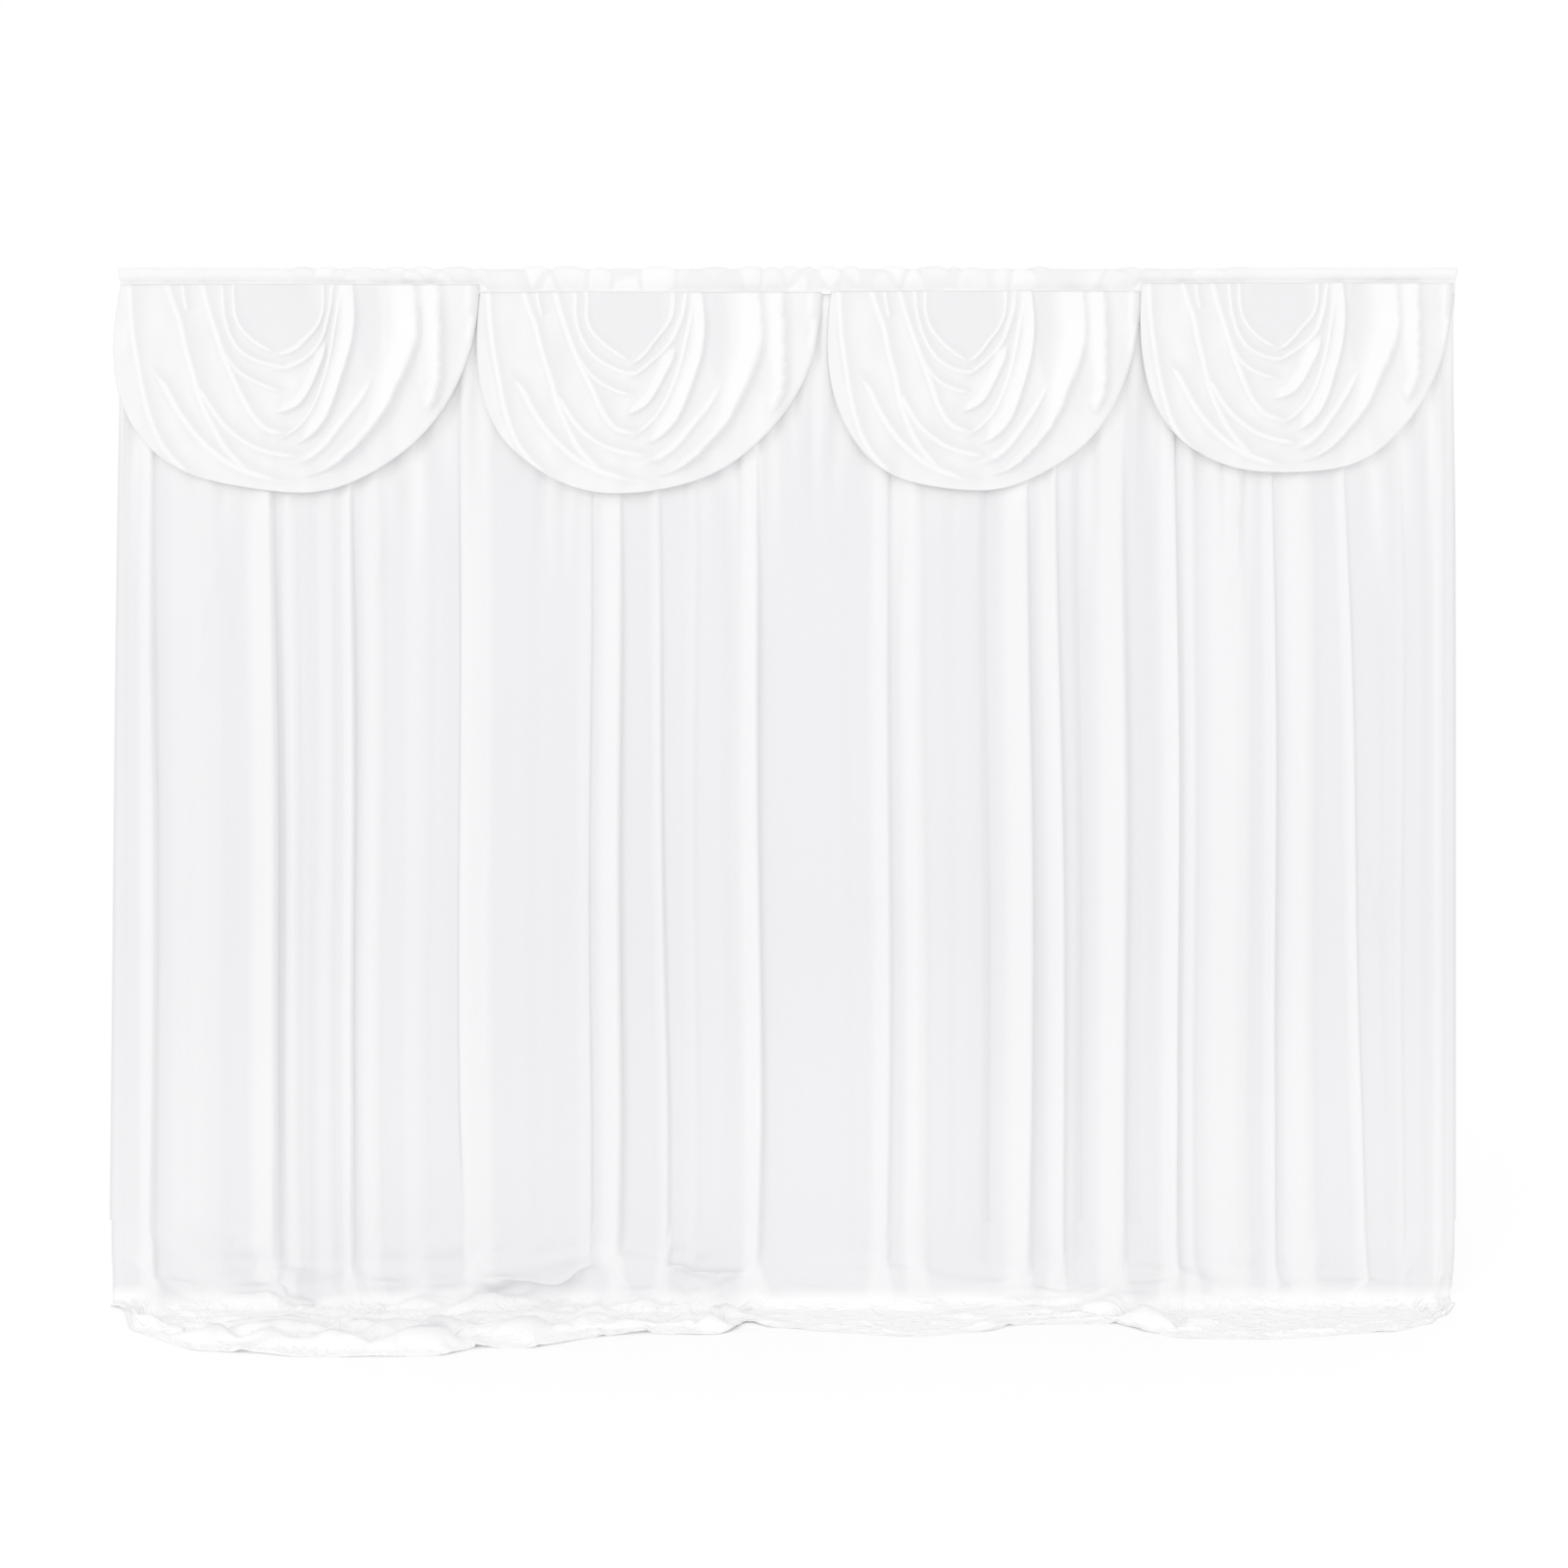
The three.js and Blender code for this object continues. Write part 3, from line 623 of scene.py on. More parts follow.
def spread_places(places):
    """The same columns with nearly even gaps, as the folds open on the floor."""
    gaps = np.diff(places)
    half = SPREAD_COLUMNS // 2
    padded = np.pad(gaps, half, mode="edge")
    even = np.convolve(padded, np.ones(SPREAD_COLUMNS) / SPREAD_COLUMNS, mode="valid")
    even = even * gaps.sum() / even.sum()
    return np.concatenate((places[:1], places[0] + np.cumsum(even)))


def loose_height(x, y):
    """Uneven rolls of loose cloth along the wall, mostly from 0 to 1, in two sizes."""
    along, away = x / ROLL_WIDTH, y / ROLL_LENGTH
    broad = noise.noise((along, away, ROLL_SEEDS[0]))
    small = noise.noise((along * SMALL_RATIO, away * SMALL_RATIO, ROLL_SEEDS[1]))
    return max(0.0, 0.5 + ROLL_HEIGHT * broad + SMALL_ROLLS * small)


def trail_cloth(columns, rows):
    """Start shape of the cloth below the pinned row: down the wall and forward over the floor."""
    samples = np.linspace(0.0, 1.0, SECTION_SAMPLES)
    section = np.array(TRAIL_SECTION)
    heap_share = np.interp(samples, section[:, 0], section[:, 1])
    puff_share = np.interp(samples, section[:, 0], section[:, 2])
    opened = smoothstep(0.0, OPEN_SHARE, samples)
    upright = 1.0 - np.clip(samples / TURN_SHARE, 0.0, 1.0)
    shown = smoothstep(*LOOSE_START, samples) * (1.0 - smoothstep(*LOOSE_END, samples))
    feet = hung_cloth(columns, [DROP])[0]
    spread = spread_places(feet[:, 0])
    reach, heap, puff, loose = (table_values(TRAIL, name, spread) for name in Trail._fields[1:])
    points = np.zeros((rows, len(spread), 3))
    for index, foot in enumerate(feet):
        x = lerp(foot[0], spread[index], opened)
        y = foot[1] * upright - reach[index] * samples
        bumps = np.array([loose_height(*place) for place in zip(x, y)])
        height = heap[index] * heap_share + puff[index] * puff_share + loose[index] * bumps * shown
        lying = np.stack((x, y, FLOOR + LYING_GAP + height), axis=-1)
        start = -lying[0, 2]
        drops = np.linspace(PIN_DROP, start, WALL_SAMPLES)[:-1]
        wall = hung_cloth(columns[:, index:index + 1], drops)[:, 0]
        path = np.concatenate((wall, lying))
        steps = np.linalg.norm(np.diff(path, axis=0), axis=1)
        arc = np.concatenate(((0.0,), np.cumsum(steps)))
        even = np.linspace(0.0, arc[-1], rows)
        for axis in range(3):
            points[:, index, axis] = np.interp(even, arc, path[:, axis])
    return points


def collider(name, location, rotation, size):
    """Plane that the settling cloth can't pass."""
    bpy.ops.mesh.primitive_plane_add(size=size, location=location, rotation=rotation)
    plane = bpy.context.object
    plane.name = name
    plane.modifiers.new("Collision", "COLLISION")
    plane.collision.thickness_outer = 0.002
    plane.collision.cloth_friction = 25.0
    return plane


def settle(points):
    """Lets the trailing cloth fall onto the floor and gives back its points."""
    rows, columns = points.shape[:2]
    strip = grid_mesh("settling_cloth", points, 0.0, (1.0, 1.0))
    pinned = strip.vertex_groups.new(name="pinned")
    first_pinned = (rows - PINNED_ROWS) * columns
    pinned.add(list(range(first_pinned, rows * columns)), 1.0, "REPLACE")
    cloth = strip.modifiers.new("Settle", "CLOTH")
    cloth.point_cache.frame_start = 1
    cloth.point_cache.frame_end = SETTLE_FRAMES
    feel = cloth.settings
    feel.quality = 6
    feel.mass = 0.06
    feel.air_damping = 2.0
    feel.tension_stiffness = 18.0
    feel.compression_stiffness = 18.0
    feel.shear_stiffness = 6.0
    feel.bending_stiffness = 0.5
    feel.tension_damping = 8.0
    feel.compression_damping = 8.0
    feel.shear_damping = 6.0
    feel.bending_damping = 0.5
    feel.vertex_group_mass = "pinned"
    touch = cloth.collision_settings
    touch.collision_quality = 3
    touch.distance_min = 0.002
    touch.use_self_collision = True
    touch.self_distance_min = 0.0015
    touch.self_friction = 15.0
    floor = collider("settling_floor", (0.0, 0.0, FLOOR), (0.0, 0.0, 0.0), PLANE_SIZE)
    wall = collider("settling_wall", (0.0, WALL_BACK, WALL_MIDDLE), (math.pi / 2, 0.0, 0.0), PLANE_SIZE)
    scene = bpy.context.scene
    for step in range(1, SETTLE_FRAMES + 1):
        scene.frame_set(step)
    shaped = strip.evaluated_get(bpy.context.evaluated_depsgraph_get())
    flat = np.zeros(rows * columns * 3)
    shaped.data.vertices.foreach_get("co", flat)
    scene.frame_set(1)
    for helper in (strip, floor, wall):
        bpy.data.objects.remove(helper, do_unlink=True)
    return flat.reshape(rows, columns, 3)[::-1]


def soften(points):
    """Rounds the creases of the settled cloth and lays its lowest place on the floor."""
    soft = points.copy()
    for _ in range(SOFTEN_ROUNDS):
        wide = np.pad(soft, ((1, 1), (1, 1), (0, 0)), mode="edge")
        beside = (wide[1:-1, :-2] + wide[1:-1, 2:] + wide[:-2, 1:-1] + wide[2:, 1:-1]) / 4
        soft[PINNED_ROWS:] = lerp(soft, beside, SOFTEN_SHARE)[PINNED_ROWS:]
    gap = soft[..., 2].min() - FLOOR - FLOOR_GAP
    soft[..., 2] -= gap * smoothstep(*GROUND_SHARES, np.linspace(0.0, 1.0, len(soft)))[:, None]
    return soft


def curtain_points():
    """Points of the hung and trailing cloth, and where it lies in layers or is painted with light."""
    columns = fold_columns()
    drops = [HEADING_DROP + SEAM_GAP]
    for end, rows in HUNG_BANDS:
        drops.extend(np.linspace(drops[-1], end, rows + 1)[1:])
    hung = hung_cloth(columns, drops)
    trail = trail_cloth(columns, TRAIL_ROWS)
    trail = soften(settle(trail))
    points = np.concatenate((hung[:-1], trail))
    drop = -points[..., 2]
    # Painted light: the cloth is lighter towards the floor.
    layers = columns[4] * DOUBLE_AND_LIGHT_LAYERS + LOW_PAINTED_LIGHT * smoothstep(*LOW_BAND, drop)
    # The drawn-back gathers are whiter: dense cloth, and painted light that lifts their shade and the
    # swags' shade.
    layers = np.maximum(layers, GATHER_LAYERS_AND_LIGHT * gather_share(columns[0], drop))
    # Painted light near the swags' rims lifts their shade on the curtain.
    behind = layers_and_rim_light(points[..., 0], drop)
    layers = np.minimum(layers + BEHIND_AND_RIM_LIGHT * behind, 1.0)
    # Painted light: the cloth lying on the floor is made fully white, as light falls on its top.
    lying = smoothstep(*(DROP + step for step in HEAP_LIGHT_BAND), drop)
    return points, lerp(layers, 1.0, lying)


def bezier(start, lead, arrive, end, share):
    """Value of a cubic curve between two ends and their handles."""
    rest = 1.0 - share
    return (rest ** 3 * start + 3 * rest ** 2 * share * lead
            + 3 * rest * share ** 2 * arrive + share ** 3 * end)


def smooth_line(points, steps):
    """Crest line through the given points, rounded between them."""
    known = np.array(points)
    padded = np.concatenate((2 * known[:1] - known[1:2], known, 2 * known[-1:] - known[-2:-1]))
    line = []
    for index in range(1, len(known)):
        before, start, end, after = padded[index - 1:index + 3]
        for share in np.arange(steps) / steps:
            line.append(0.5 * (2 * start + (end - before) * share
                               + (2 * before - 5 * start + 4 * end - after) * share ** 2
                               + (3 * start - before - 3 * end + after) * share ** 3))
    line.append(known[-1])
    return np.array(line)


def nearest_on(line, places):
    """Distance from a line, side of it and share along it, for places in its plane."""
    best = np.full(places.shape[:-1], np.inf)
    side = np.zeros_like(best)
    along = np.zeros_like(best)
    pieces = len(line) - 1
    for index in range(pieces):
        start, way = line[index], line[index + 1] - line[index]
        offset = places - start
        share = np.clip((offset @ way) / (way @ way), 0.0, 1.0)
        away = offset - share[..., None] * way
        distance = np.hypot(away[..., 0], away[..., 1])
        closer = distance < best
        best = np.where(closer, distance, best)
        side = np.where(closer, away[..., 0] * way[1] - away[..., 1] * way[0], side)
        along = np.where(closer, (index + share) / pieces, along)
    return best, side, along


def fold_marks(places, line, fold):
    """Height, whiteness and right-hand painted shade of a swag's fold, from 0 to 1, for places in its
    plane; the whiteness is partly a painted highlight.
    """
    best, side, along = nearest_on(line, places)
    fade = 1.0 - smoothstep(1.0 - END_TAPER, 1.0, along)
    if fold.line[0][1] > 0.0:
        fade = fade * smoothstep(0.0, END_TAPER, along)
    tapered = lerp(1.0, fold.end, smoothstep(*WIDTH_TAPER, along))
    width = np.where(side < 0.0, fold.left, fold.right) * tapered
    height = fade * np.exp(-(best / (width * lerp(POINTED_END, 1.0, fade))) ** CREST_POWER)
    shown = BAND_WHITE if fold.band else CREST_WHITE
    # The whiteness is partly the doubled crest, partly a painted highlight on the slope lit from the left.
    white = np.where(side < 0.0, smoothstep(*shown, height), smoothstep(*RIGHT_WHITE, height))
    painted_valley_shade = fade * np.exp(-(best / SHADE_WIDTH) ** 2) * (side > 0.0)
    return height, white, painted_valley_shade


def swag_places(swag, seed, share, across):
    """Places of a swag as the photo shows them, to the right of the middle and below its sewn edge."""
    past = np.clip(share - CUP_SHARE, 0.0, None) / (1.0 - CUP_SHARE)
    left_end = lerp(swag.cup_left, swag.left, past ** LEFT_STACK)
    right_end = lerp(swag.cup_right, swag.right, lerp(past ** RIGHT_STACK, past, RIGHT_SPREAD))
    cup_middle = (swag.cup_left + swag.cup_right) / 2
    middle = lerp(cup_middle, (swag.left + swag.right) / 2, MIDDLE_SHIFT * past)
    uneven = sum(height * np.sin(rate * across + turn * seed) for height, rate, turn in HEM_WAVES)
    low = swag.depth * share * (1.0 + uneven * share ** 4)
    full = {key: lerp(inner, outer, past) for key, (inner, outer) in FULLNESS.items()}
    left_way = np.clip(across + 1.0, 0.0, 1.0)
    right_way = np.clip(across, 0.0, 1.0)
    left_x = bezier(left_end, left_end - swag.bulge * past,
                    lerp(middle, left_end, full["left_level"]), middle, left_way)
    right_x = bezier(middle, lerp(middle, right_end, full["right_level"]),
                     right_end, right_end, right_way)
    left_below = bezier(0.0, low * full["left_down"], low, low, left_way)
    right_below = bezier(low, low, low * full["right_down"], 0.0, right_way)
    on_left = across <= 0.0
    return np.where(on_left, left_x, right_x), np.where(on_left, left_below, right_below)


def at_depth(x, drop, y):
    """Turns a place of the photo, measured at the curtain, into its place at the depth y."""
    nearer = 1.0 + y / CAMERA_DISTANCE
    return x * nearer, lerp(CAMERA_DROP, -drop, nearer)


def layers_and_rim_light(x, drop):
    """How fully, from 0 to 1, a place of the curtain lies straight behind a swag, or close to its rim,
    where it is painted light that lifts the swag's shade.
    """
    places = np.stack((x, drop), axis=-1)
    across = np.linspace(-1.0, 1.0, RIM_STEPS)
    covered = np.zeros_like(x)
    for index, swag in enumerate(SWAGS):
        rim_x, rim_below = swag_places(swag, SWAG_SEED * index, 1.0, across)
        rim_drop = swag.sewn_drop + rim_below
        rim_x, rim_z = at_depth(rim_x, rim_drop, -SEWN_FACE - SWAG_LIFT * RIM_LIFT)
        distance, side, _ = nearest_on(np.stack((rim_x, -rim_z), axis=-1), places)
        outside = np.where(side > 0.0, 0.0, distance)
        covered = np.maximum(covered, np.exp(-outside / RIM_LIGHT_REACH))
    return covered


def swag_points(swag, seed):
    """Points of a swag, and where its cloth lies in layers, with painted highlight on its crests and
    painted shade beside them and in its hollows.
    """
    share = np.linspace(0.0, 1.0, SWAG_ROWS)[:, None]
    across = np.linspace(-1.0, 1.0, SWAG_COLUMNS)[None, :]
    x, below = swag_places(swag, seed, share, across)
    size = np.array((swag.right - swag.left, swag.depth))
    width, rate, down_rate = FOLD_SHIFT
    shift = width * np.sin(rate * across + down_rate * share + seed) * np.sin(math.pi * share)
    places = np.stack((x - swag.left, below), axis=-1) + shift[..., None]
    spots = (places / MOTTLE_SIZE).reshape(-1, 2)
    mottle = np.array([noise.noise((*spot, seed)) for spot in spots]).reshape(x.shape)
    layers = SWAG_LAYERS + MOTTLE_LAYERS * mottle
    # Painted shade: the hollows are darker.
    for shaded_hollow in SHADED_HOLLOWS:
        away = np.hypot((places[..., 0] / size[0] - shaded_hollow.across) / shaded_hollow.width,
                        (places[..., 1] / size[1] - shaded_hollow.down) / shaded_hollow.height)
        layers = layers * smoothstep(*HOLLOW_SHADE_EDGE, away)
    ridge = np.zeros_like(x)
    crest_double_and_highlight = np.zeros_like(x)
    # thin gathers the painted shade to the right of the crests.
    thin = np.zeros_like(x)
    for fold in SWAG_FOLDS:
        line = smooth_line(fold.line, LINE_STEPS) * size
        raised, white, painted_valley_shade = fold_marks(places, line, fold)
        ridge = np.maximum(ridge, fold.height * raised)
        crest_double_and_highlight = np.maximum(crest_double_and_highlight, white)
        thin = np.maximum(thin, painted_valley_shade)
    # Painted shade darkens the cloth to the right of each crest; the crests' whiteness, partly painted
    # highlight, stays on top.
    layers = np.maximum(layers * (1.0 - thin), crest_double_and_highlight)
    rim_lift = lerp(RIM_TOP_LIFT, RIM_LIFT, smoothstep(*RIM_DROPS, below))
    lift = SWAG_LIFT * (1.0 - np.exp(-below / SWAG_LIFT_DEPTH))
    lift = lift * lerp(1.0, rim_lift, smoothstep(RIM_START, 1.0, share))
    hollow = lerp(CUP_HOLLOW, 1.0, smoothstep(0.0, CUP_SHARE, share))
    grown = np.minimum(1.0, RIDGE_START + below / RIDGE_GROWTH)
    height, rate, growth = BILLOW
    billow = height * np.sin(rate * across + seed) * np.sin(math.pi * share)
    y = -SEWN_FACE - lift * hollow - ridge * grown - billow * np.minimum(1.0, below / growth)
    x, z = at_depth(x, swag.sewn_drop + below, y)
    return np.stack((x, y, z), axis=-1), layers


def crinkles(place, across):
    """Puff from 0, in a crease, to 1, and whiteness of the gathered pocket at one place of its cloth."""
    lean = GATHER_LEAN * math.sin(place * LEAN_RATE)
    spot = Vector(((place + lean * across / PUFF_HEIGHT) / PUFF_WIDTH, across / PUFF_HEIGHT, 0.0))
    distances, middles = noise.voronoi(spot)
    puff = smoothstep(0.0, PUFF_EDGE, distances[1] - distances[0])
    return puff, 0.5 + PUFF_WHITE * noise.cell(middles[0] * PUFF_SEED)


def heading_points():
    """Points of the heading's strip and pocket, and where its cloth lies double, with painted shade in the
    pocket's creases.
    """
    places = np.linspace(LEFT_EDGE, RIGHT_EDGE, HEADING_COLUMNS)
    seam = table_values(HEADING, "seam", places)
    amount = table_values(HEADING, "gather", places)
    turns = HEADING_ROWS - 2 * STRIP_ROWS
    around = np.linspace(0.0, 1.0, turns)[:, None]
    angle = 2 * math.pi * around
    around_cloth = 2 * math.pi * POCKET_RADIUS * around[:, 0]
    found = np.array([[crinkles(place, across) for place in places] for across in around_cloth])
    puff, white = found[..., 0], found[..., 1]
    swollen = GATHER_HEIGHT * amount * (puff - PUFF_MIDDLE)
    radius = POCKET_RADIUS + swollen * np.sin(angle / 2) ** SEAM_PULL
    below = np.cos(angle) > 0.0
    tall = np.where(below, seam + POCKET_CENTRE, radius)
    bulge = radius * np.where(below, np.sin(angle) ** 2, np.abs(np.sin(angle)))
    pocket_y = -np.maximum(bulge, STRIP_HALF) * np.where(around < 0.5, 1.0, -1.0)
    pocket_z = POCKET_CENTRE - tall * np.cos(angle)
    strip_share = np.linspace(0.0, 1.0, STRIP_ROWS + 1)[:-1, None]
    strip_z = lerp(-HEADING_DROP, -seam, strip_share)
    strip_y = np.full_like(strip_z, STRIP_HALF)
    strip_layers = np.full_like(strip_z, PLAIN_LAYERS)
    # Painted shade: the pocket is darker in the creases between its puffs.
    pocket_layers = lerp(PLAIN_LAYERS, white * smoothstep(0.0, CREASE_SHADE_EDGE, puff), amount)
    y = np.concatenate((-strip_y, pocket_y, strip_y[::-1]))
    z = np.concatenate((strip_z, pocket_z, strip_z[::-1]))
    x = np.broadcast_to(places, y.shape)
    layers = np.concatenate((strip_layers, pocket_layers, strip_layers))
    return np.stack((x, y, z), axis=-1)[::-1], layers[::-1]


def stitch_rows():
    """Stitches along the seam under the pocket and above the strip's lower edge, on both faces."""
    stitch = bmesh.new()
    bmesh.ops.create_icosphere(stitch, subdivisions=1, radius=1.0)
    bmesh.ops.scale(stitch, verts=stitch.verts, vec=STITCH_SIZE)
    stitch.verts.index_update()
    bm = bmesh.new()
    places = np.arange(LEFT_EDGE + STITCH_MARGIN, RIGHT_EDGE - STITCH_MARGIN, STITCH_PITCH)
    seams = table_values(HEADING, "seam", places)
    for face, lower in ((-1.0, False), (1.0, False), (1.0, True)):
        for place, seam in zip(places, seams):
            drop = HEADING_DROP - EDGE_STITCHES if lower else seam + SEAM_STITCHES
            middle = Vector((place, face * (STRIP_HALF + STITCH_FACE), -drop))
            made = [bm.verts.new(vert.co + middle) for vert in stitch.verts]
            for side in stitch.faces:
                bm.faces.new([made[vert.index] for vert in side.verts])
    stitch.free()
    mesh = bpy.data.meshes.new("heading_stitching")
    bm.to_mesh(mesh)
    bm.free()
    mesh.shade_smooth()
    piece = bpy.data.objects.new("heading_stitching", mesh)
    bpy.context.scene.collection.objects.link(piece)
    return piece


def node_group(name, values, outputs):
    """Empty shader node group with a vector input, inputs with their default values, and outputs."""
    group = bpy.data.node_groups.new(name, "ShaderNodeTree")
    group.interface.new_socket("Vector", in_out="INPUT", socket_type="NodeSocketVector")
    for label, default in values.items():
        socket = group.interface.new_socket(label, in_out="INPUT", socket_type="NodeSocketFloat")
        socket.default_value = default
    for label in outputs:
        group.interface.new_socket(label, in_out="OUTPUT", socket_type="NodeSocketFloat")
    return group, group.nodes.new("NodeGroupInput"), group.nodes.new("NodeGroupOutput")


def add_node(tree, kind, links=None, **values):
    """Shader node with its settings and input links in one call."""
    node = tree.nodes.new(kind)
    for key, value in values.items():
        setattr(node, key, value)
    for socket, source in (links or {}).items():
        if hasattr(source, "is_linked"):
            tree.links.new(source, node.inputs[socket])
        else:
            node.inputs[socket].default_value = source
    return node


def math_node(tree, operation, *values):
    """Output of a math node with its values or links in order."""
    return add_node(tree, "ShaderNodeMath", dict(enumerate(values)), operation=operation).outputs[0]


def knit_group():
    """Fine knit of the cloth: height of its ribs from UVs in metres."""
    if "Fine Knit" in bpy.data.node_groups:
        return bpy.data.node_groups["Fine Knit"]
    group, start, end = node_group("Fine Knit", {"Pitch": 0.0009}, ("Height",))
    scale = math_node(group, "DIVIDE", 1.0, start.outputs["Pitch"])
    sized = add_node(group, "ShaderNodeVectorMath", {0: start.outputs["Vector"], "Scale": scale},
                     operation="SCALE")
    waves = []
    for direction, size in (("X", 0.32), ("Y", 0.26)):
        wave = add_node(
            group, "ShaderNodeTexWave",
            {"Vector": sized.outputs[0], "Scale": size, "Distortion": 0.6,
             "Detail": 1.0, "Detail Scale": 0.6},
            wave_type="BANDS", bands_direction=direction)
        waves.append(wave.outputs["Fac"])
    group.links.new(math_node(group, "MULTIPLY", *waves), end.inputs["Height"])
    return group


def wrinkle_group():
    """Soft handling wrinkles: stretched noise along the cloth's length."""
    if "Soft Wrinkles" in bpy.data.node_groups:
        return bpy.data.node_groups["Soft Wrinkles"]
    group, start, end = node_group("Soft Wrinkles", {"Across": 30.0, "Along": 2.5}, ("Height", "Tone"))
    place = start.outputs["Vector"]
    stretch = add_node(group, "ShaderNodeCombineXYZ",
                       {"X": start.outputs["Across"], "Y": start.outputs["Along"], "Z": 1.0})
    sized = add_node(group, "ShaderNodeVectorMath", {0: place, 1: stretch.outputs[0]},
                     operation="MULTIPLY")
    lines = add_node(
        group, "ShaderNodeTexNoise",
        {"Vector": sized.outputs[0], "Scale": 1.0, "Detail": 3.0, "Roughness": 0.45, "Distortion": 0.3})
    broad = add_node(group, "ShaderNodeTexNoise", {"Vector": place, "Scale": 1.6, "Detail": 2.0})
    group.links.new(lines.outputs["Fac"], end.inputs["Height"])
    group.links.new(broad.outputs["Fac"], end.inputs["Tone"])
    return group


def hem_group():
    """Stitched hems: height of the turned edge and a groove along its stitching."""
    if "Stitched Hem" in bpy.data.node_groups:
        return bpy.data.node_groups["Stitched Hem"]
    group, start, end = node_group("Stitched Hem", {"Width": 4.0, "Hem": 0.02}, ("Height",))
    parts = add_node(group, "ShaderNodeSeparateXYZ", {0: start.outputs["Vector"]}).outputs
    other = math_node(group, "SUBTRACT", start.outputs["Width"], parts["X"])
    side = math_node(group, "MINIMUM", parts["X"], other)
    edge = math_node(group, "MINIMUM", side, parts["Y"])
    share = math_node(group, "DIVIDE", edge, start.outputs["Hem"])
    ramp = add_node(group, "ShaderNodeValToRGB", {"Fac": share})
    turned, plain = ramp.color_ramp.elements
    turned.position = 0.86
    turned.color = (0.8, 0.8, 0.8, 1.0)
    plain.position = 1.0
    plain.color = (0.4, 0.4, 0.4, 1.0)
    groove = ramp.color_ramp.elements.new(0.93)
    groove.color = (0.0, 0.0, 0.0, 1.0)
    group.links.new(ramp.outputs["Color"], end.inputs["Height"])
    return group


def cloth_material(name, colours, roughness, across, along, wrinkle, hemmed_width=None):
    """White knitted cloth with a soft sheen, in its colours for many layers and for one.

    A hemmed width gives it a hem along its sides and bottom, and crumples where it lies in layers.
    """
    material = bpy.data.materials.new(name)
    material.use_nodes = True
    tree = material.node_tree
    shader = tree.nodes["Principled BSDF"]
    place = add_node(tree, "ShaderNodeUVMap").outputs["UV"]
    knit = add_node(tree, "ShaderNodeGroup", {"Vector": place}, node_tree=knit_group())
    wrinkles = add_node(tree, "ShaderNodeGroup", {"Vector": place, "Across": across, "Along": along},
                        node_tree=wrinkle_group())
    tone = add_node(
        tree, "ShaderNodeMapRange",
        {"Value": wrinkles.outputs["Tone"], "From Min": 0.3, "From Max": 0.7,
         "To Min": 0.98, "To Max": 1.0})
    # The layers attribute mixes the thin and the full colour: partly real double layers, partly painted
    # light and painted shade.
    layers = add_node(tree, "ShaderNodeAttribute", attribute_name="layers_and_painted_light")
    full, thin = ((*colour, 1.0) for colour in colours)
    mixed = add_node(tree, "ShaderNodeMix", {0: layers.outputs["Fac"], 6: thin, 7: full}, data_type="RGBA")
    tint = add_node(tree, "ShaderNodeVectorMath", {0: mixed.outputs[2], "Scale": tone.outputs[0]},
                    operation="SCALE")
    tree.links.new(tint.outputs[0], shader.inputs["Base Color"])
    gloss = add_node(
        tree, "ShaderNodeMapRange",
        {"Value": wrinkles.outputs["Height"], "From Min": 0.3, "From Max": 0.7,
         "To Min": roughness - 0.05, "To Max": roughness + 0.08})
    tree.links.new(gloss.outputs[0], shader.inputs["Roughness"])
    soft = add_node(
        tree, "ShaderNodeBump",
        {"Height": wrinkles.outputs["Height"], "Strength": 1.0, "Distance": wrinkle})
    below = soft.outputs["Normal"]
    if hemmed_width:
        hem = add_node(tree, "ShaderNodeGroup", {"Vector": place, "Width": hemmed_width},
                       node_tree=hem_group())
        turned = add_node(
            tree, "ShaderNodeBump",
            {"Height": hem.outputs["Height"], "Strength": 1.0, "Distance": 0.0008, "Normal": below})
        heaped = add_node(tree, "ShaderNodeMapRange", {"Value": layers.outputs["Fac"], "From Min": 0.55})
        crumples = add_node(tree, "ShaderNodeGroup", {"Vector": place, "Across": 24.0, "Along": 10.0},
                            node_tree=wrinkle_group())
        ridged = math_node(tree, "ABSOLUTE", math_node(tree, "SUBTRACT", crumples.outputs["Height"], 0.5))
        crushed = add_node(
            tree, "ShaderNodeBump",
            {"Height": ridged, "Strength": heaped.outputs[0], "Distance": 0.02,
             "Normal": turned.outputs["Normal"]}, invert=True)
        below = crushed.outputs["Normal"]
    fine = add_node(
        tree, "ShaderNodeBump",
        {"Height": knit.outputs["Height"], "Strength": 0.25, "Distance": 0.0003, "Normal": below})
    tree.links.new(fine.outputs["Normal"], shader.inputs["Normal"])
    shader.inputs["Sheen Weight"].default_value = 0.25
    shader.inputs["Sheen Roughness"].default_value = 0.4
    shader.inputs["Specular IOR Level"].default_value = 0.25
    return material


def thread_material(colour):
    """Twisted thread of the stitching."""
    material = bpy.data.materials.new("sewing thread")
    material.use_nodes = True
    tree = material.node_tree
    shader = tree.nodes["Principled BSDF"]
    where = add_node(tree, "ShaderNodeTexCoord")
    twist = add_node(
        tree, "ShaderNodeTexWave", {"Vector": where.outputs["Object"], "Scale": 400.0, "Distortion": 0.5},
        bands_direction="DIAGONAL").outputs["Fac"]
    tone = add_node(tree, "ShaderNodeMapRange", {"Value": twist, "To Min": 0.85, "To Max": 1.0})
    tint = add_node(tree, "ShaderNodeVectorMath", {0: (*colour,), "Scale": tone.outputs[0]},
                    operation="SCALE")
    tree.links.new(tint.outputs[0], shader.inputs["Base Color"])
    bump = add_node(tree, "ShaderNodeBump", {"Height": twist, "Strength": 0.4, "Distance": 0.0002})
    tree.links.new(bump.outputs["Normal"], shader.inputs["Normal"])
    shader.inputs["Roughness"].default_value = 0.6
    return material


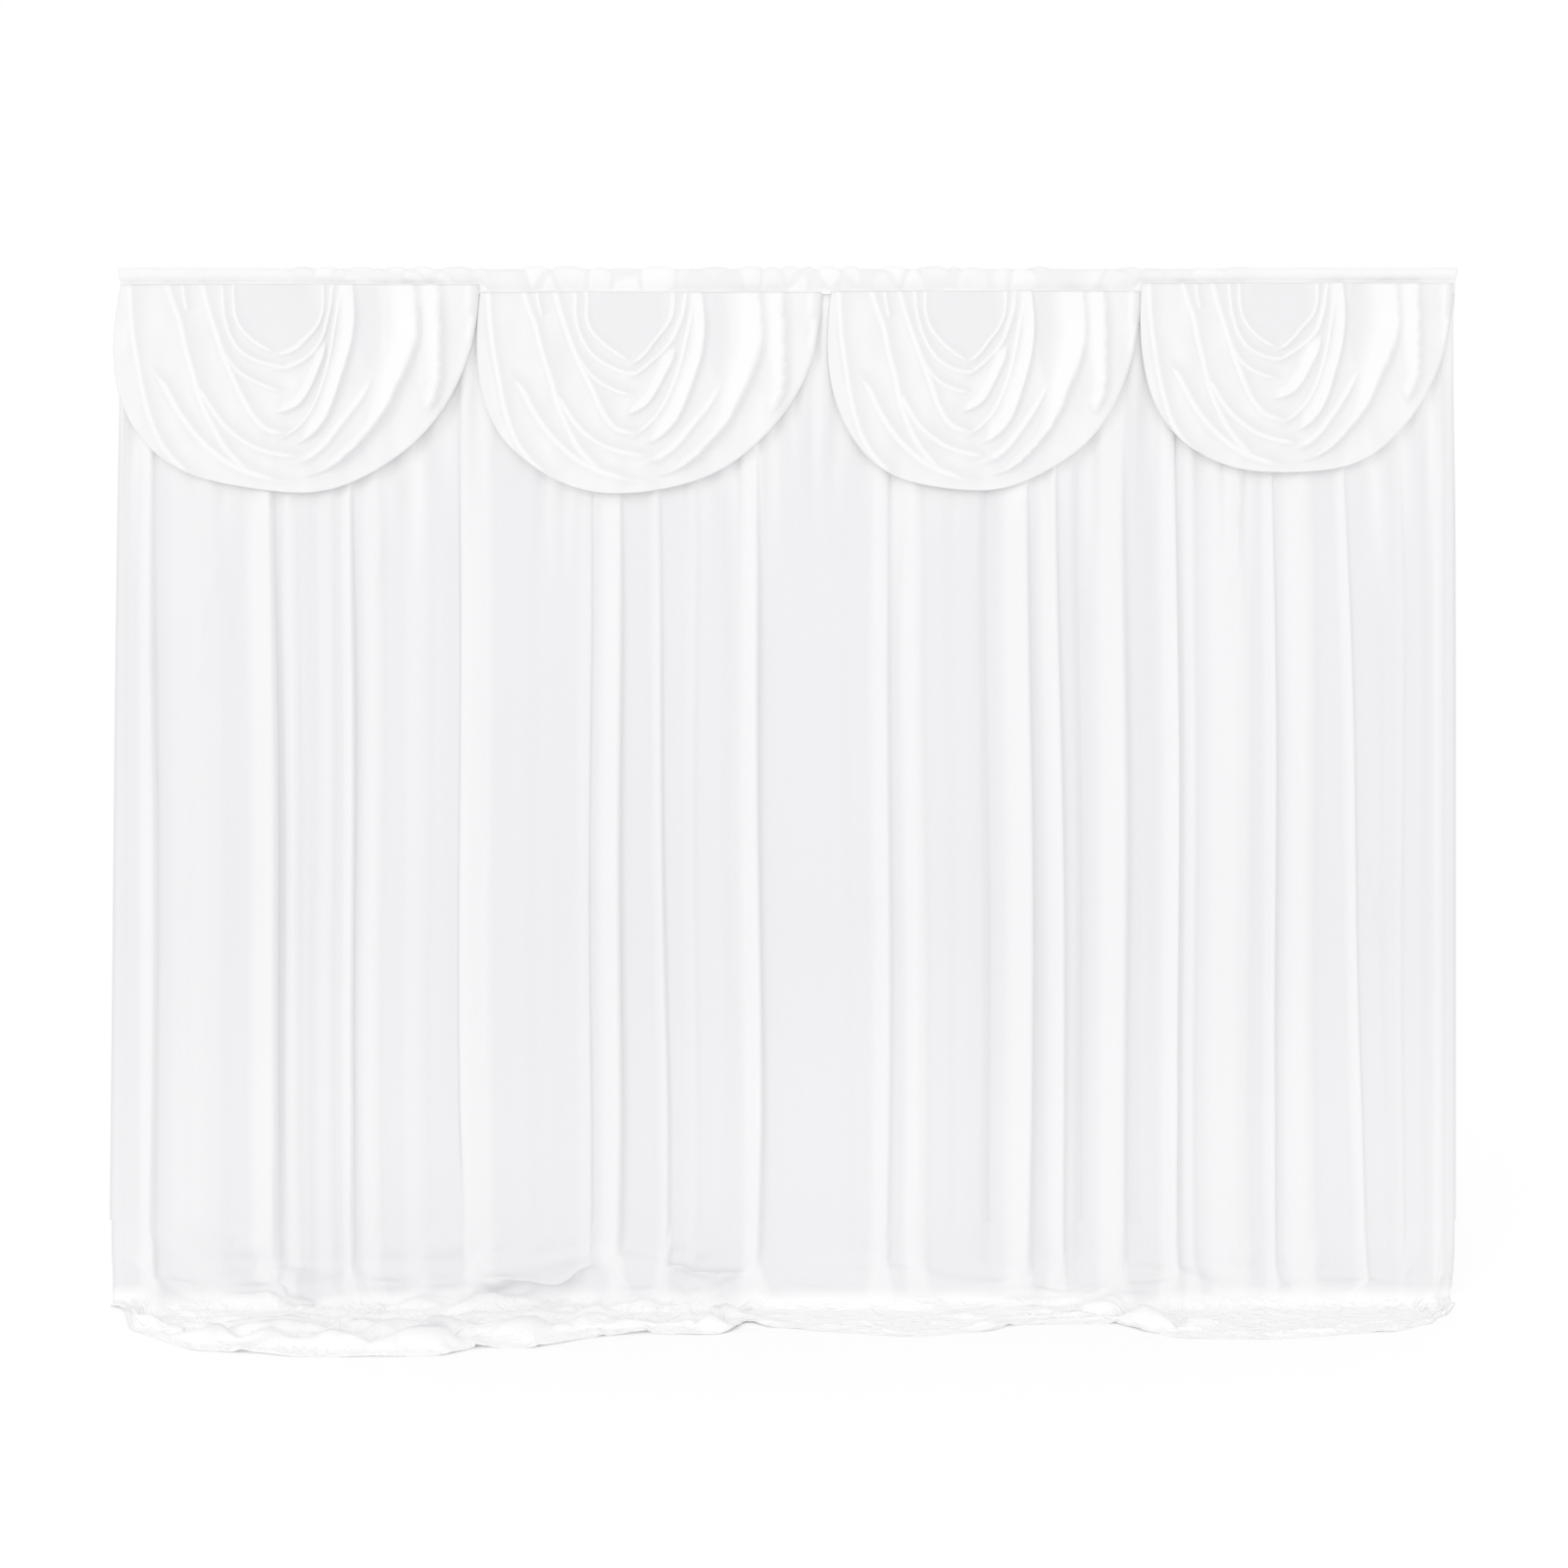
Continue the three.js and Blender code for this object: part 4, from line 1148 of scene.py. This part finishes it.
def dress(piece, material):
    """Gives a piece its material, body and slot."""
    piece.data.materials.append(material)
    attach(piece, BODY)


class BACKDROP_OT_stage(bpy.types.Operator):
    """Adds the floor, the lights and the camera"""

    bl_idname = "backdrop.stage"
    bl_label = "Stage"

    def execute(self, context):
        scene = context.scene
        look = scene.backdrop_stage
        scene.view_settings.view_transform = "Standard"
        scene.view_settings.gamma = look.gamma
        world = scene.world or bpy.data.worlds.new("Room light")
        scene.world = world
        world.use_nodes = True
        room = world.node_tree.nodes["Background"]
        room.inputs["Color"].default_value = (1.0, 1.0, 1.0, 1.0)
        room.inputs["Strength"].default_value = look.sky
        bm = bmesh.new()
        bmesh.ops.create_grid(bm, x_segments=4, y_segments=4, size=FLOOR_HALF)
        bmesh.ops.translate(bm, verts=bm.verts, vec=(0.0, 0.0, FLOOR - FLOOR_DROP))
        mesh = bpy.data.meshes.new("floor")
        bm.to_mesh(mesh)
        bm.free()
        floor = bpy.data.objects.new("floor", mesh)
        scene.collection.objects.link(floor)
        paint = bpy.data.materials.new("pale floor")
        paint.use_nodes = True
        shader = paint.node_tree.nodes["Principled BSDF"]
        shader.inputs["Base Color"].default_value = (*look.floor_colour, 1.0)
        shader.inputs["Roughness"].default_value = 0.8
        mesh.materials.append(paint)
        middle = Vector((0.0, 0.0, FLOOR / 2))
        for name, location, size, power in (
                ("key", KEY_PLACE, KEY_SIZE, look.key_power),
                ("fill", FILL_PLACE, FILL_SIZE, look.fill_power)):
            lamp = bpy.data.lights.new(name, "AREA")
            lamp.size = size
            lamp.energy = power
            light = bpy.data.objects.new(name, lamp)
            light.location = location
            light.rotation_euler = (middle - light.location).to_track_quat("-Z", "Y").to_euler()
            scene.collection.objects.link(light)
        lens = bpy.data.cameras.new("camera")
        lens.lens = look.lens
        lens.clip_end = 100.0
        camera = bpy.data.objects.new("camera", lens)
        camera.location = (0.0, -look.camera_distance, FLOOR + look.camera_height)
        camera.rotation_euler = (math.pi / 2, 0.0, 0.0)
        scene.collection.objects.link(camera)
        scene.camera = camera
        return {"FINISHED"}


class BACKDROP_OT_curtain(bpy.types.Operator):
    """Hangs the main cloth in its folds and lets its end settle on the floor"""

    bl_idname = "backdrop.curtain"
    bl_label = "Curtain"

    def execute(self, context):
        look = context.scene.backdrop_cloth
        points, layers = curtain_points()
        piece = grid_mesh("hung_curtain", points, look.thickness, CURTAIN_FLAT, layers)
        material = cloth_material(
            "hung cloth", (look.curtain_colour, look.curtain_thin), roughness=0.6, across=40.0, along=1.2,
            wrinkle=0.002, hemmed_width=CURTAIN_FLAT[0])
        dress(piece, material)
        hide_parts("curtain")
        return {"FINISHED"}


class BACKDROP_OT_heading(bpy.types.Operator):
    """Folds the heading strip into a gathered rod pocket"""

    bl_idname = "backdrop.heading"
    bl_label = "Heading"

    def execute(self, context):
        look = context.scene.backdrop_cloth
        points, layers = heading_points()
        piece = grid_mesh("gathered_heading", points, look.thickness, HEADING_FLAT, layers)
        material = cloth_material(
            "heading cloth", (look.heading_colour, look.heading_thin), roughness=0.6, across=40.0,
            along=20.0, wrinkle=0.002)
        dress(piece, material)
        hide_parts("heading")
        stitches = stitch_rows()
        dress(stitches, thread_material(look.thread_colour))
        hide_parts("heading")
        return {"FINISHED"}


class BACKDROP_OT_swags(bpy.types.Operator):
    """Drapes the four swags along the heading"""

    bl_idname = "backdrop.swags"
    bl_label = "Swags"

    def execute(self, context):
        look = context.scene.backdrop_cloth
        material = cloth_material(
            "swag cloth", (look.swag_colour, look.swag_thin), roughness=0.38, across=26.0, along=6.0,
            wrinkle=0.0015)
        for index, swag in enumerate(SWAGS):
            number = index + 1
            points, layers = swag_points(swag, SWAG_SEED * index)
            piece = grid_mesh(f"draped_swag_{number}", points, look.thickness, SWAG_FLAT, layers)
            dress(piece, material)
            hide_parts(f"swag_{number}")
        return {"FINISHED"}


class BACKDROP_PT_panel(bpy.types.Panel):
    """Lists the pieces of the backdrop"""

    bl_idname = "BACKDROP_PT_panel"
    bl_label = "Backdrop Curtain"
    bl_space_type = "VIEW_3D"
    bl_region_type = "UI"
    bl_category = "Backdrop"

    def draw(self, context):
        layout = self.layout
        for group in (context.scene.backdrop_cloth, context.scene.backdrop_stage):
            box = layout.box()
            for name in group.__annotations__:
                box.prop(group, name)
        for operator in OPERATORS:
            layout.operator(operator.bl_idname)


OPERATORS = (BACKDROP_OT_stage, BACKDROP_OT_curtain, BACKDROP_OT_heading, BACKDROP_OT_swags)
CLASSES = (BackdropCloth, BackdropStage, *OPERATORS, BACKDROP_PT_panel)


def register():
    for kind in CLASSES:
        bpy.utils.register_class(kind)
    bpy.types.Scene.backdrop_cloth = bpy.props.PointerProperty(type=BackdropCloth)
    bpy.types.Scene.backdrop_stage = bpy.props.PointerProperty(type=BackdropStage)


def unregister():
    del bpy.types.Scene.backdrop_stage
    del bpy.types.Scene.backdrop_cloth
    for kind in reversed(CLASSES):
        bpy.utils.unregister_class(kind)


def main():
    register()
    bpy.ops.backdrop.stage()
    bpy.ops.backdrop.curtain()
    bpy.ops.backdrop.heading()
    bpy.ops.backdrop.swags()


if __name__ == "__main__":
    main()
